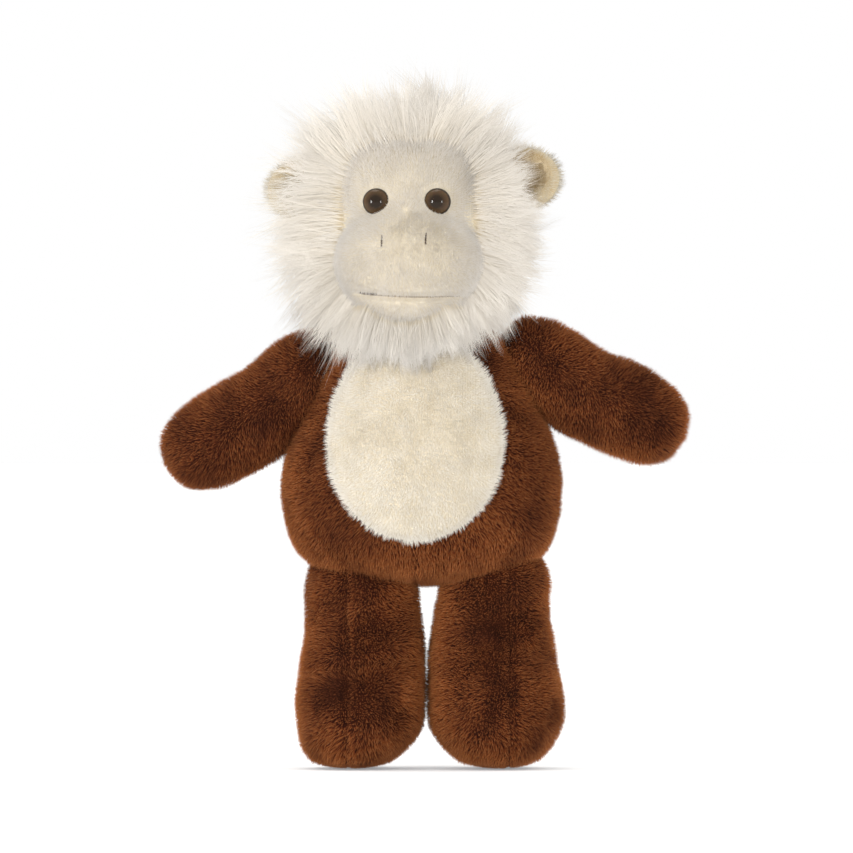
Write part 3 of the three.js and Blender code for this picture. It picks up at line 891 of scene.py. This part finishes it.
# %% Spikes from roots and tips
def spikes(name, paths, width, normals, tones, softness, material):
    """Closed three-sided spikes. paths holds each hair's points from root to tip, as an
    array of hairs by levels by 3; width is each hair's half width at its root."""
    hairs, levels = paths.shape[:2]
    along = unit((paths[:, -1] - paths[:, 0]))
    side = unit(np.cross(along, normals + 1e-4))
    third = np.cross(along, side)
    around = np.stack(
        [
            side * math.cos(turn) + third * math.sin(turn)
            for turn in (0, 2 * math.pi / 3, 4 * math.pi / 3)
        ],
        axis=1,
    )
    rings = levels - 1
    taper = 1 - (np.arange(rings) / levels) ** 1.3
    points = paths[:, :rings, None, :] + around[:, None] * (
        width[:, None, None, None] * taper[None, :, None, None]
    )
    points = np.concatenate([points.reshape(hairs, rings * 3, 3), paths[:, -1:, :]], axis=1)
    each = rings * 3 + 1
    shading = np.concatenate(
        [np.tile(around, (1, rings, 1)), along[:, None, :]], axis=1
    ) * (1 - softness) + normals[:, None, :] * softness

    faces, marks = [(0, 2, 1)], [((-1, 0.0), (0, 0.01), (1, 0.0))]
    tip = rings * 3
    for ring in range(rings):
        low = ring / rings
        high = (ring + 1) / rings
        for k in range(3):
            a, b = ring * 3 + k, ring * 3 + (k + 1) % 3
            if ring == rings - 1:
                faces.append((a, b, tip))
                marks.append(((-1, low), (1, low), (0, 1.0)))
            else:
                faces += [(a, b, b + 3), (a, b + 3, a + 3)]
                marks += [((-1, low), (1, low), (1, high)), ((-1, low), (1, high), (-1, high))]
    faces = np.array(faces)
    marks = np.array(marks)
    mesh = bpy.data.meshes.new(name)
    mesh.vertices.add(hairs * each)
    points[..., 2] = np.maximum(points[..., 2], 0.2 * MM)
    mesh.vertices.foreach_set("co", points.astype(np.float32).ravel())
    corners = (faces[None] + (np.arange(hairs) * each)[:, None, None]).ravel()
    count = hairs * len(faces)
    mesh.loops.add(count * 3)
    mesh.loops.foreach_set("vertex_index", corners.astype(np.int32))
    mesh.polygons.add(count)
    mesh.polygons.foreach_set("loop_start", np.arange(count, dtype=np.int32) * 3)
    mesh.polygons.foreach_set("loop_total", np.full(count, 3, np.int32))
    mesh.update(calc_edges=True)
    layer = mesh.uv_layers.new(name="OFBake")
    spot = np.empty((hairs, len(faces), 3, 2), np.float32)
    spot[..., 0] = np.clip(tones, 0.01, 0.99)[:, None, None] + marks[None, ..., 0] * 0.004
    spot[..., 1] = 0.01 + 0.98 * marks[None, ..., 1]
    layer.data.foreach_set("uv", spot.ravel())
    mesh.polygons.foreach_set("use_smooth", np.ones(count, bool))
    mesh.normals_split_custom_set_from_vertices(
        unit(shading.reshape(-1, 3)).astype(np.float32).tolist()
    )
    mesh.materials.append(material)
    thing = bpy.data.objects.new(name, mesh)
    scene.collection.objects.link(thing)
    print(name, hairs, "hairs,", count, "triangles")
    return thing


# %% Short plush
def tufted(points, size, seed):
    """The middle of the small tuft that each point belongs to."""
    cell = np.floor(points / (size * MM)).astype(np.int64)
    mix = (cell @ np.array([73856093, 19349663, 83492791])) ^ (seed * 2654435761)
    jitter = np.stack([((mix >> shift) % 1024) / 1024 for shift in (3, 11, 19)], axis=1)
    return (cell + 0.2 + 0.6 * jitter) * size * MM


def plush(
    name, cover, material, comb, per_mm, length, seed, wanted=None, short=None, tone=None,
    lean=26, half_width=0.17, tuft=1.3, gather=0.22, soft=0.6, patchy=1.0,
):
    """Short pile on a cover. comb gives the brushed direction at each root, wanted the
    share of hairs there, short a factor of their length, and tone a shift from dark to
    fair."""
    roots, normals = sow(cover, per_mm, seed, wanted)
    chance = np.random.default_rng(seed + 1)
    hairs = len(roots)
    brushed = comb(roots, normals)
    brushed = unit(brushed - normals * np.sum(brushed * normals, axis=1, keepdims=True))
    swirl = 0.75 * ripple(roots, 14, seed + 2) + 0.35 * ripple(roots, 5, seed + 3)
    swirl = swirl + chance.normal(0, 0.25, hairs)
    sideways = np.cross(normals, brushed)
    lay = brushed * np.cos(swirl)[:, None] + sideways * np.sin(swirl)[:, None]
    tilt = np.radians(
        np.clip(lean + 13 * ripple(roots, 9, seed + 4) + chance.normal(0, 9, hairs), 8, 80)
    )
    size = length * MM * (1 + 0.14 * ripple(roots, 7, seed + 5)) * chance.uniform(0.75, 1.2, hairs)
    if short is not None:
        size = size * short(roots)
    tips = roots + (normals * np.cos(tilt)[:, None] + lay * np.sin(tilt)[:, None]) * size[:, None]
    pull = tufted(roots, tuft, seed) - roots
    pull -= normals * np.sum(pull * normals, axis=1, keepdims=True)
    tips += pull * gather
    starts = roots - normals * 0.35 * MM
    shades = 0.5 + patchy * (0.24 * ripple(roots, 12, seed + 6) + 0.2 * ripple(roots, 30, seed + 7))
    # One hair in twenty is made much fairer: painted highlights, the glints of single hairs.
    shades = shades + chance.normal(0, 0.17, hairs) + 0.45 * (chance.random(hairs) < 0.05)
    if tone is not None:
        shades = shades + tone(roots)
    width = half_width * MM * chance.uniform(0.8, 1.25, hairs)
    paths = np.stack([starts, tips], axis=1)
    return spikes(name, paths, width, normals, shades, soft, material)


def downwards(p, n):
    return np.tile([0.0, 0.0, -1.0], (len(p), 1)) + 0.12 * n * [1, 1, 0]


def near(distance, reach):
    """1 on a line, and 0 further than reach from it."""
    return np.clip(1 - np.abs(distance) / (reach * MM), 0, 1)


# %% The pile of the body and belly
UNDER_BELLY = 0.106  # where the short front seam under the belly ends, m
BODY_PILE_TOP, LEG_PILE_TOP = 0.2045, 0.097  # where the head and the body hide the pile, m


def body_short(p):
    middle = near(p[:, 0] - BELLY_MIDDLE * MM, 2.0) * ((p[:, 1] > 0) | (p[:, 2] < UNDER_BELLY))
    sides = near(p[:, 1], 2.0)
    return 1 - 0.55 * np.maximum(middle, sides)


def belly_comb(p, n):
    """Down the belly, and outwards over its edge."""
    away = p - np.array([BELLY_MIDDLE, -40, BELLY_WIDEST]) * MM
    rim = np.clip((belly_share(p) - 0.8) / 0.2, 0, 1)[:, None]
    return downwards(p, n) * (1 - 0.8 * rim) + unit(away) * rim * 1.2


def outside_belly(p):
    return (belly_share(p) > 1.0) & (p[:, 2] < BODY_PILE_TOP)


def inside_belly(p):
    """Inside the egg, and denser along its edge."""
    share = belly_share(p)
    return ((share < 1.0) & (p[:, 2] < BODY_PILE_TOP)) * (0.9 + 1.3 * (share > 0.94))


# The front's pile is given a fairer tone than the back's: painted light on the side that faces the
# lamps.
body_pile_front = plush(
    "body_pile_front", whole_body, brown_pile, downwards, 2.5, 3.0, 11,
    wanted=lambda p: outside_belly(p) & (p[:, 1] < 0), short=body_short, tone=lambda p: 0.2,
)
body_pile_back = plush(
    "body_pile_back", whole_body, brown_pile, downwards, 2.1, 3.0, 12,
    wanted=lambda p: outside_belly(p) & (p[:, 1] >= 0), short=body_short,
)
belly_pile_piece = plush(
    "belly_pile", whole_body, belly_pile, belly_comb, 3.4, 3.2, 13, inside_belly,
    half_width=0.14, tuft=1.2, gather=0.2, soft=0.85, patchy=0.6,
)
bpy.data.objects.remove(whole_body)

# %% The pile of the arms and legs
arm_piles, leg_piles = {}, {}
for side, sign in SIDES.items():
    way = np.array(arm_ways[side])
    arm_piles[side] = plush(
        f"{side}_arm_pile", arm_covers[side], brown_pile,
        lambda p, n, way=way: np.tile(way, (len(p), 1)) + [0, 0, -0.35],
        2.3, 3.0, 20 + sign,
        short=lambda p: 1 - 0.5 * near(p[:, 1], 1.8),
    )
    # The legs' pile is given a fairer tone than the arms': painted light on the legs.
    leg_piles[side] = plush(
        f"{side}_leg_pile", leg_covers[side], brown_pile, downwards, 2.2, 3.0, 30 + sign,
        wanted=lambda p: p[:, 2] < LEG_PILE_TOP, tone=lambda p: 0.22, patchy=1.5,
        short=lambda p, x=hips[side].x + sign * SEAM_OUT * MM: (1 - 0.5 * near(p[:, 0] - x, 1.8))
        * np.clip(0.25 + p[:, 2] / (8 * MM), 0.25, 1),
    )


# %% The pile of the face and ears
NOSE = TURN_HEAD @ Vector((0, -40 * MM, 246 * MM))
FACE_OUTLINE = (29.5, 38, 245)  # half width, half height and middle height, mm
FACE_PILE_BACK = -19 * MM  # the face's pile ends here, where the mane covers it


def on_head(p):
    """Points in the head's own directions: to its left, backwards and up from the ground."""
    away = p - np.array([neck.x, neck.y, 0])
    return np.column_stack(
        [away @ np.array(FACE_SIDE), away @ -np.array(FACE_OUT), away[:, 2]]
    )


def from_nose(p, n):
    return (p - np.array(NOSE)) + [0, 0, -0.004]


def from_node(p, node, tall=1.0):
    """How far points are from a node's middle, seen from the front. tall shrinks heights."""
    spot = np.array(middle_of(node))
    return np.hypot(p[:, 0] - spot[0], (p[:, 2] - spot[2]) * tall)


def face_outline(h):
    """Under 1 inside the outline of the face panel, 1 on it, over 1 outside it."""
    wide, tall, middle = FACE_OUTLINE
    across, up = np.abs(h[:, 0] / (wide * MM)), np.abs((h[:, 2] - middle * MM) / (tall * MM))
    return across**3 + up**3


def face_short(p):
    """Short beside the seams, stitches and eyes, and long at the brow."""
    h = on_head(p)
    mouth = near(h[:, 2] - smile(h[:, 0] / MM) * MM, 1.6)
    mouth *= np.clip((27 - np.abs(h[:, 0] / MM)) / 3, 0, 1)
    seam = 0.3 * near(h[:, 0], 1.2) * (np.abs(h[:, 2] - 0.227) < 0.009)
    shortest = np.maximum(mouth, seam)
    for side in ("right", "left"):
        away = from_node(p, f"{side}_nostril_stitch", 0.45)
        shortest = np.maximum(shortest, 0.8 * near(away, 1.5))
        away = from_node(p, f"{side}_eye")
        shortest = np.maximum(shortest, 0.75 * np.clip((8.2 * MM - away) / (2 * MM), 0, 1))
    brow = np.where(h[:, 2] > 252 * MM, face_outline(h), 0)
    return (1 - 0.72 * shortest) * (1 + 0.6 * np.clip((brow - 0.6) / 0.4, 0, 1))


def face_and_mound(p, mound):
    """The front of the head but for the eyes: the muzzle under its seam with the face
    when mound is true, and the rest of the face when it's false."""
    h = on_head(p)
    keep = h[:, 1] < FACE_PILE_BACK
    for side in ("right", "left"):
        keep &= from_node(p, f"{side}_eye") > 5.4 * MM
    return keep & ((h[:, 2] < (250 - 14 * (h[:, 0] / (34 * MM)) ** 2) * MM) == mound)


face_piles = [
    plush(
        name, face_cover, face_pile, from_nose, 4.2, 2.6, seed,
        lambda p, mound=mound: face_and_mound(p, mound), face_short,
        half_width=0.12, tuft=1.2, gather=0.2, lean=32, soft=0.85, patchy=0.5,
    )
    for name, seed, mound in (("face_pile", 41, False), ("muzzle_pile", 42, True))
]


def ear_tone(p, sign):
    """The left ear's dish is painted tan, a painted shade in its hollow. Its rim and back, and the
    right ear, are cream.
    """
    middle = middle_of("left_ear_front" if sign > 0 else "right_ear_front")
    h, m = on_head(p), on_head(np.array([middle]))[0]
    dish = np.hypot((h[:, 0] - m[0]) / 11, (h[:, 2] - m[2]) / 9) / MM < 1
    return np.where(dish & (h[:, 1] < m[1] + 3 * MM), -0.5 if sign > 0 else 0.4, 0.45)


ear_piles = {}
for side, sign in SIDES.items():
    ear_piles[side] = plush(
        f"{side}_ear_pile", ear_covers[side], ear_pile,
        lambda p, n, sign=sign: np.tile([sign * 1.0, 0, 0.3], (len(p), 1)), 3.4, 3.6, 50 + sign,
        half_width=0.13, tuft=1.6, soft=0.8,
        tone=lambda p, sign=sign: ear_tone(p, sign),
    )

# %% [markdown]
# ## The mane
#
# The mane is long fur in pointed locks. It grows away from the face on all sides:
# upwards over the brow, sideways over the ears, and down as a beard over the chest.
# Each hair is a bent spike that starts in its own place and is drawn towards the middle
# hair of its lock, more and more towards the tip.

# %% The long fur
SKULL_MIDDLE = Vector((neck.x, neck.y, 251.7 * MM))
MANE_HEM = 0.2086  # the fur's lowest roots, m


def mane_way(roots, normals, chance):
    """Where the fur at each root points, in the head's own directions."""
    h = on_head(roots)
    up = (h[:, 2] - SKULL_MIDDLE.z) / (42 * MM)
    front = np.clip(-h[:, 1] / (38 * MM), -1, 1)
    away, down = (
        line - normals * (normals @ line)[:, None]
        for line in (np.array([0.0, 1.0, 0.0]), np.array([0.0, 0.0, -1.0]))
    )
    behind = np.clip(-front, 0, 1)[:, None]
    lay = unit(away * (1 - behind) + down * behind + 1e-6)
    lay = unit(lay + 0.9 * np.cross(normals, lay) * ripple(roots, 15, 62)[:, None])
    tilt = np.radians(38 + 17 * ripple(roots, 12, 61) + chance.normal(0, 7, len(roots)))
    way = normals * np.cos(tilt)[:, None] + lay * np.sin(tilt)[:, None]
    jaw = np.clip((-0.45 - up) / 0.35, 0, 1)[:, None]
    beard = unit(
        np.column_stack(
            [normals[:, 0] * 0.75, normals[:, 1] * 0.45 - 0.12, -np.ones(len(roots))]
        )
    )
    return unit(way * (1 - jaw) + beard * jaw), jaw[:, 0]


def lock_of(points, middles):
    """The nearest lock middle for each point."""
    nearest = np.empty(len(points), int)
    for start in range(0, len(points), 4000):
        part = points[start : start + 4000]
        gaps = ((part[:, None, :] - middles[None]) ** 2).sum(axis=2)
        nearest[start : start + 4000] = gaps.argmin(axis=1)
    return nearest


def hair_paths(roots, ways, lengths, curls, droop, levels):
    t = np.linspace(0, 1, levels)
    path = roots[:, None] + ways[:, None] * (lengths[:, None] * t)[..., None]
    path += curls[:, None] * (lengths[:, None] * t**2)[..., None]
    path[..., 2] -= droop[:, None] * lengths[:, None] * t**2
    return path


def in_face(p):
    """Inside the outline of the face panel, above the jaw and in front."""
    h = on_head(p)
    edge = 0.95 + 0.05 * ripple(p, 5, 63)
    return (face_outline(h) < edge) & (h[:, 1] < 0) & ~(h[:, 2] < 222 * MM)


# The mane isn't even: this is its length, as seen from the front, at angles counted
# from the toy's left upwards and over the head.
MANE_ANGLES = [0, 30, 60, 78, 100, 120, 145, 165, 185, 215, 240, 310, 330, 360]
MANE_LENGTHS = [
    0.77, 0.93, 0.96, 0.98, 0.86, 1.02, 1.13, 1.10, 1.00, 1.03, 1.0, 0.73, 0.76, 0.77
]


def long_fur(name, cover, wanted, per_mm, seed, locks=0.13, length=29.5):
    roots, normals = sow(cover, per_mm, seed, wanted)
    mids, mid_normals = sow(cover, locks, seed + 1, wanted)
    chance = np.random.default_rng(seed + 2)

    def grow(r, n, spread):
        ways, jaw = mane_way(r, n, chance)
        h = on_head(r)
        turn = np.degrees(np.arctan2(r[:, 2] - SKULL_MIDDLE.z, r[:, 0] - neck.x)) % 360
        sizes = length * MM * (1 + 0.16 * ripple(r, 11, 71)) * (1 - 0.12 * jaw)
        sizes *= np.interp(turn, MANE_ANGLES, MANE_LENGTHS)
        sizes *= 1 - 0.24 * np.clip(h[:, 1] / (40 * MM), 0, 1)
        sizes *= chance.uniform(0.78, 1.12, len(r))
        curls = chance.normal(0, spread, (len(r), 3))
        droop = 0.06 + 0.1 * jaw
        return hair_paths(r, ways, sizes, curls, droop, 4)

    own = grow(roots, normals, 0.12)
    lead = grow(mids, mid_normals, 0.27)
    chosen = lock_of(roots, mids)
    draw = np.array([0.0, 0.16, 0.42, 0.74])[None, :, None]
    draw = draw * chance.uniform(0.4, 1.0, len(roots))[:, None, None]
    paths = own * (1 - draw) + lead[chosen] * draw
    paths[:, 0] -= normals * 0.5 * MM
    shades = 0.5 + 0.22 * ripple(roots, 10, seed + 3) + chance.normal(0, 0.2, len(roots))
    shades += 0.25 * (chance.random(len(mids))[chosen] - 0.5)
    width = 0.13 * MM * chance.uniform(0.8, 1.25, len(roots))
    return spikes(name, paths, width, normals, shades, 0.9, mane_pile)


def beside(sign, back=None):
    """A test for one side of the scalp, all of it or only in front of or behind the ears."""

    def test(p):
        h = on_head(p)
        there = (h[:, 0] * sign > 0) & ~in_face(p) & (p[:, 2] > MANE_HEM)
        return there if back is None else there & ((h[:, 1] > 0) == back)

    return test


mane_pieces = {}
for side, sign in SIDES.items():
    for where, back, per_mm in (("front", False, 2.2), ("back", True, 1.6)):
        name, seed = f"mane_{side}_{where}", 80 + 5 * sign + 10 * back
        mane_pieces[side, where] = long_fur(name, head_cover, beside(sign, back), per_mm, seed)
    mane_pieces[side, "undercoat"] = plush(
        f"undercoat_{side}", head_cover, mane_pile,
        lambda p, n: mane_way(p, n, np.random.default_rng(5))[0], 0.9, 13.0, 120 + sign,
        beside(sign), lean=30, half_width=0.3, tuft=4, gather=0.3, soft=0.9,
    )
mane_pieces["beard"] = long_fur(
    "beard", face_cover, lambda p: (p[:, 2] < 212 * MM) & (on_head(p)[:, 1] > -47 * MM), 3.2, 101,
    length=23.0,
)

# %% [markdown]
# ## Eyes
#
# Safety eyes are plastic domes, brown under a clear coat with a black pupil in the
# middle. A ball is flattened and its back half is cut away, and the cut is filled flat.
# The iris is coloured by the distance from the middle of the eye, which each eye's finish
# centres on itself.


# %% The eyes
EYE_RADIUS, EYE_FLATNESS = 6.2, 0.72  # mm, and the dome's depth over its radius
IRIS = [  # share of the iris's radius, and the colour there
    (0.0, (36, 26, 17)),
    (0.42, (42, 31, 20)),
    (0.64, (72, 54, 36)),
    (0.86, (88, 68, 46)),
    (0.98, (40, 30, 20)),
]


def eye_finish(name, centre):
    material, tree, shader = new_finish(name, 0.06, 0.05)
    where = add_node(tree, "TexCoord")
    shifted = Matrix.Rotation(-HEAD_TURN, 3, "Z") @ Vector(centre)
    centred = add_node(
        tree, "Mapping", Location=(-shifted.x, 0, -shifted.z), Rotation=(0, 0, -HEAD_TURN)
    )
    flat, far, scale = (add_node(tree, kind) for kind in ("VectorMath", "VectorMath", "Math"))
    flat.operation, far.operation, scale.operation = "MULTIPLY", "LENGTH", "DIVIDE"
    flat.inputs[1].default_value = (1000, 0, 1000)
    scale.inputs[1].default_value = 6.0
    rings, flecks = ramp(tree, IRIS), add_node(tree, "TexNoise", Scale=900)
    tinted = add_node(tree, "Mix")
    tinted.data_type = "RGBA"
    tinted.blend_type = "MULTIPLY"
    tinted.inputs[0].default_value = 0.35
    wire(where, "Object", centred, "Vector")
    wire(centred, 0, flat, 0)
    wire(flat, 0, far, 0)
    wire(far, "Value", scale, 0)
    wire(scale, 0, rings, 0)
    wire(rings, 0, tinted, 6)
    wire(where, "Object", flecks, "Vector")
    wire(flecks, 1, tinted, 7)
    wire(tinted, 2, shader, "Base Color")
    fill_in(shader, Coat_Weight=0.3, Coat_Roughness=0.03)
    return material


eyes = {}
for side in SIDES:
    low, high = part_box(f"{side}_eye")
    centre = (low + high) / 2
    sphere = bpy.ops.mesh.primitive_uv_sphere_add
    radius = EYE_RADIUS * MM
    eye = add(sphere, f"{side}_eye_dome", segments=48, ring_count=24, radius=radius)
    edit_all()
    bpy.ops.transform.resize(value=(1, 1, EYE_FLATNESS), center_override=(0, 0, 0))
    bpy.ops.mesh.bisect(
        plane_co=(0, 0, -1.0 * MM), plane_no=(0, 0, 1), use_fill=True, clear_inner=True
    )
    leave_edit()
    face_on = Matrix.Rotation(HEAD_TURN, 4, "Z") @ Matrix.Rotation(math.radians(90), 4, "X")
    tip_to_middle = EYE_RADIUS * EYE_FLATNESS * MM
    spot = Vector((centre.x, low.y + tip_to_middle, centre.z - 0.8 * MM))
    place_form(eye, Matrix.Translation(spot) @ face_on)
    pick(eye)
    bpy.ops.object.shade_smooth_by_angle(angle=math.radians(40))
    eye.data.materials.append(eye_finish(f"{side}_eye_plastic", spot))
    eyes[side] = eye
    print(side, "eye at", [round(v / MM, 1) for v in spot])

# %% [markdown]
# ## Stitches
#
# The nostrils and the mouth are hand stitches in dark thread. Sewing thread is two
# strands twisted together, so each stitch is two thin tubes that wind round one line.
# A curve with a round bevel makes a tube, and converting it makes it a mesh.


# %% Thread
def thread_finish(name, deep, light):
    return mottled_finish(name, 0.7, 0.3, 1400, 2, [(0.35, deep), (0.65, light)])[0]


dark_thread = thread_finish("dark_stitch_thread", (62, 50, 42), (100, 84, 70))
seam_thread = thread_finish("mouth_seam_thread", (140, 118, 94), (172, 150, 122))


def twisted_thread(name, line, radius, twist, material):
    """Two strands that wind round a line of points, joined into one mesh."""
    line = np.array(line)
    length = np.linalg.norm(np.diff(line, axis=0), axis=1).sum()
    steps = max(8, int(length / (0.35 * MM)))
    at = np.linspace(0, len(line) - 1, steps)
    low = np.minimum(at.astype(int), len(line) - 2)
    middle = line[low] + (line[low + 1] - line[low]) * (at - low)[:, None]
    forward = unit(np.gradient(middle, axis=0))
    side = unit(np.cross(forward, np.array(FACE_OUT)[None]))
    third = np.cross(forward, side)
    turns = np.linspace(0, length / (twist * MM), steps) * 2 * math.pi
    strands = []
    for strand in range(2):
        angle = turns + strand * math.pi
        around = side * np.cos(angle)[:, None] + third * np.sin(angle)[:, None]
        path = middle + around * radius * 0.5 * MM
        curve = add(bpy.ops.curve.primitive_nurbs_path_add, f"{name}_strand")
        spline = curve.data.splines[0]
        spline.points.add(steps - len(spline.points))
        for point, place in zip(spline.points, path):
            point.co = (*place, 1)
        spline.use_endpoint_u = True
        spline.order_u = 3
        curve.data.resolution_u = 2
        curve.data.bevel_depth = radius * 0.62 * MM
        curve.data.bevel_resolution = 2
        curve.data.use_fill_caps = True
        bpy.ops.object.convert(target="MESH")
        strands.append(bpy.context.object)
    pick(strands[0])
    strands[1].select_set(True)
    bpy.ops.object.join()
    bpy.ops.object.transform_apply()
    thread = bpy.context.object
    thread.name = name
    bpy.ops.object.shade_smooth()
    thread.data.materials.clear()
    thread.data.materials.append(material)
    return thread


muzzle_tree = BVHTree.FromObject(face_cover, bpy.context.evaluated_depsgraph_get())


def on_muzzle(side, height, lift):
    """The point on the muzzle's front at a place given in the head's own directions."""
    start = TURN_HEAD @ Vector((side * MM, -0.12, height * MM))
    hit = muzzle_tree.ray_cast(start, -FACE_OUT)
    return hit[0] + FACE_OUT * lift * MM


# Each stitch dives into the cloth at both ends.
NOSTRIL_LINE = ((-2.9, -0.7), (-2.0, 0.1), (0, 0.35), (2.0, 0.1), (2.9, -0.7))  # rise, lift
CORNER_LINE = ((-20.5, 0.1), (-19, 0.8), (-16.5, 0.9), (-14.0, 0.8), (-12.4, 0.1))
nostrils = {}
for side, sign in SIDES.items():
    spot = middle_of(f"{side}_nostril_stitch")
    across = (spot - Vector((neck.x, neck.y, spot.z))).dot(FACE_SIDE) / MM
    drop = 1.0 if sign < 0 else 0.0
    line = [on_muzzle(across, spot.z / MM + rise - drop, lift) for rise, lift in NOSTRIL_LINE]
    nostrils[side] = twisted_thread(f"{side}_nostril_thread", line, 0.42, 2.0, dark_thread)

mouth = [on_muzzle(s, smile(s), 0.25) for s in np.linspace(-21.5, 24, 31)]
mouth_thread = twisted_thread("mouth_thread", mouth, 0.36, 2.2, seam_thread)
corner = [on_muzzle(s, smile(s) + 0.2, lift) for s, lift in CORNER_LINE]
corner_thread = twisted_thread("mouth_corner_stitch", corner, 0.55, 2.2, dark_thread)

# %% [markdown]
# ## Who moves with what
#
# Each piece but the legs rides on the body that it is sewn to. The cloth of a leg is sewn
# to the body's underside and folds there; here the leg covers and their pile ride on no
# body, and stay where they are. The hidden stuffing, washers and gathering threads are
# stood for by the covers around them.


def finish_piece(piece, body, nodes=()):
    if body:
        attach(piece, body)
    if nodes:
        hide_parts(*nodes)


def finish_cover(piece, body, cloth, nodes):
    """Covers are smooth cloth, and are padded with filling."""
    piece.data.materials.clear()
    piece.data.materials.append(cloth)
    for polygon in piece.data.polygons:
        polygon.material_index = 0
        polygon.use_smooth = True
    finish_piece(piece, body, nodes)


BODY_NODES = ["body_front_right", "body_front_left", "body_back_right", "body_back_left"]
BODY_NODES += ["body_stuffing", "neck_thread"]
FACE_NODES = ["face_panel", "muzzle_stuffing", "muzzle_right", "muzzle_left", "chin_panel"]
MANE_NODES = ["mane_right", "mane_left", "head_stuffing"]
finish_cover(body_cover, "body", brown_backing_painted_shade, BODY_NODES)
finish_cover(belly_cover, "body", cream_backing, ["belly_panel"])
finish_piece(body_pile_front, "body")
finish_piece(body_pile_back, "body")
finish_piece(belly_pile_piece, "body")

for side in SIDES:
    arm, leg = arm_covers[side], leg_covers[side]
    parts = ["arm_stuffing", "arm_front", "arm_back", "shoulder_thread"]
    nodes = [f"{side}_{part}" for part in parts]
    finish_cover(arm, f"{side}_arm", brown_backing_painted_shade, nodes)
    finish_piece(arm_piles[side], f"{side}_arm")
    nodes = [f"{side}_{part}" for part in ("leg_stuffing", "leg_inner", "leg_outer")]
    finish_cover(leg, None, brown_backing_painted_shade, nodes)
    finish_piece(leg_piles[side], None)
    for piece in (leg, leg_piles[side]):
        fold = hips[side]
        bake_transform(piece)

finish_cover(head_cover, "head", mane_backing, MANE_NODES)
finish_cover(face_cover, "head", cream_backing, FACE_NODES)
for piece in face_piles:
    finish_piece(piece, "head")
for piece in mane_pieces.values():
    finish_piece(piece, "head")
for side in SIDES:
    nodes = [f"{side}_ear_front", f"{side}_ear_back"]
    finish_cover(ear_covers[side], "head", ear_backing, nodes)
    finish_piece(ear_piles[side], "head")
    finish_piece(eyes[side], "head", [f"{side}_eye", f"{side}_eye_washer"])
    finish_piece(nostrils[side], "head", [f"{side}_nostril_stitch"])
finish_piece(mouth_thread, "head", ["mouth_stitch"])
finish_piece(corner_thread, "head")

# %% [markdown]
#
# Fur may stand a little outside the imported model, and no further. Both boxes are
# written down so that they can be compared.

# %% Size and finish
low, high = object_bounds()
for name, a, b in (("packed", cad_low, cad_high), ("looks", low, high)):
    print(name, [round(v / MM, 1) for v in a], [round(v / MM, 1) for v in b])
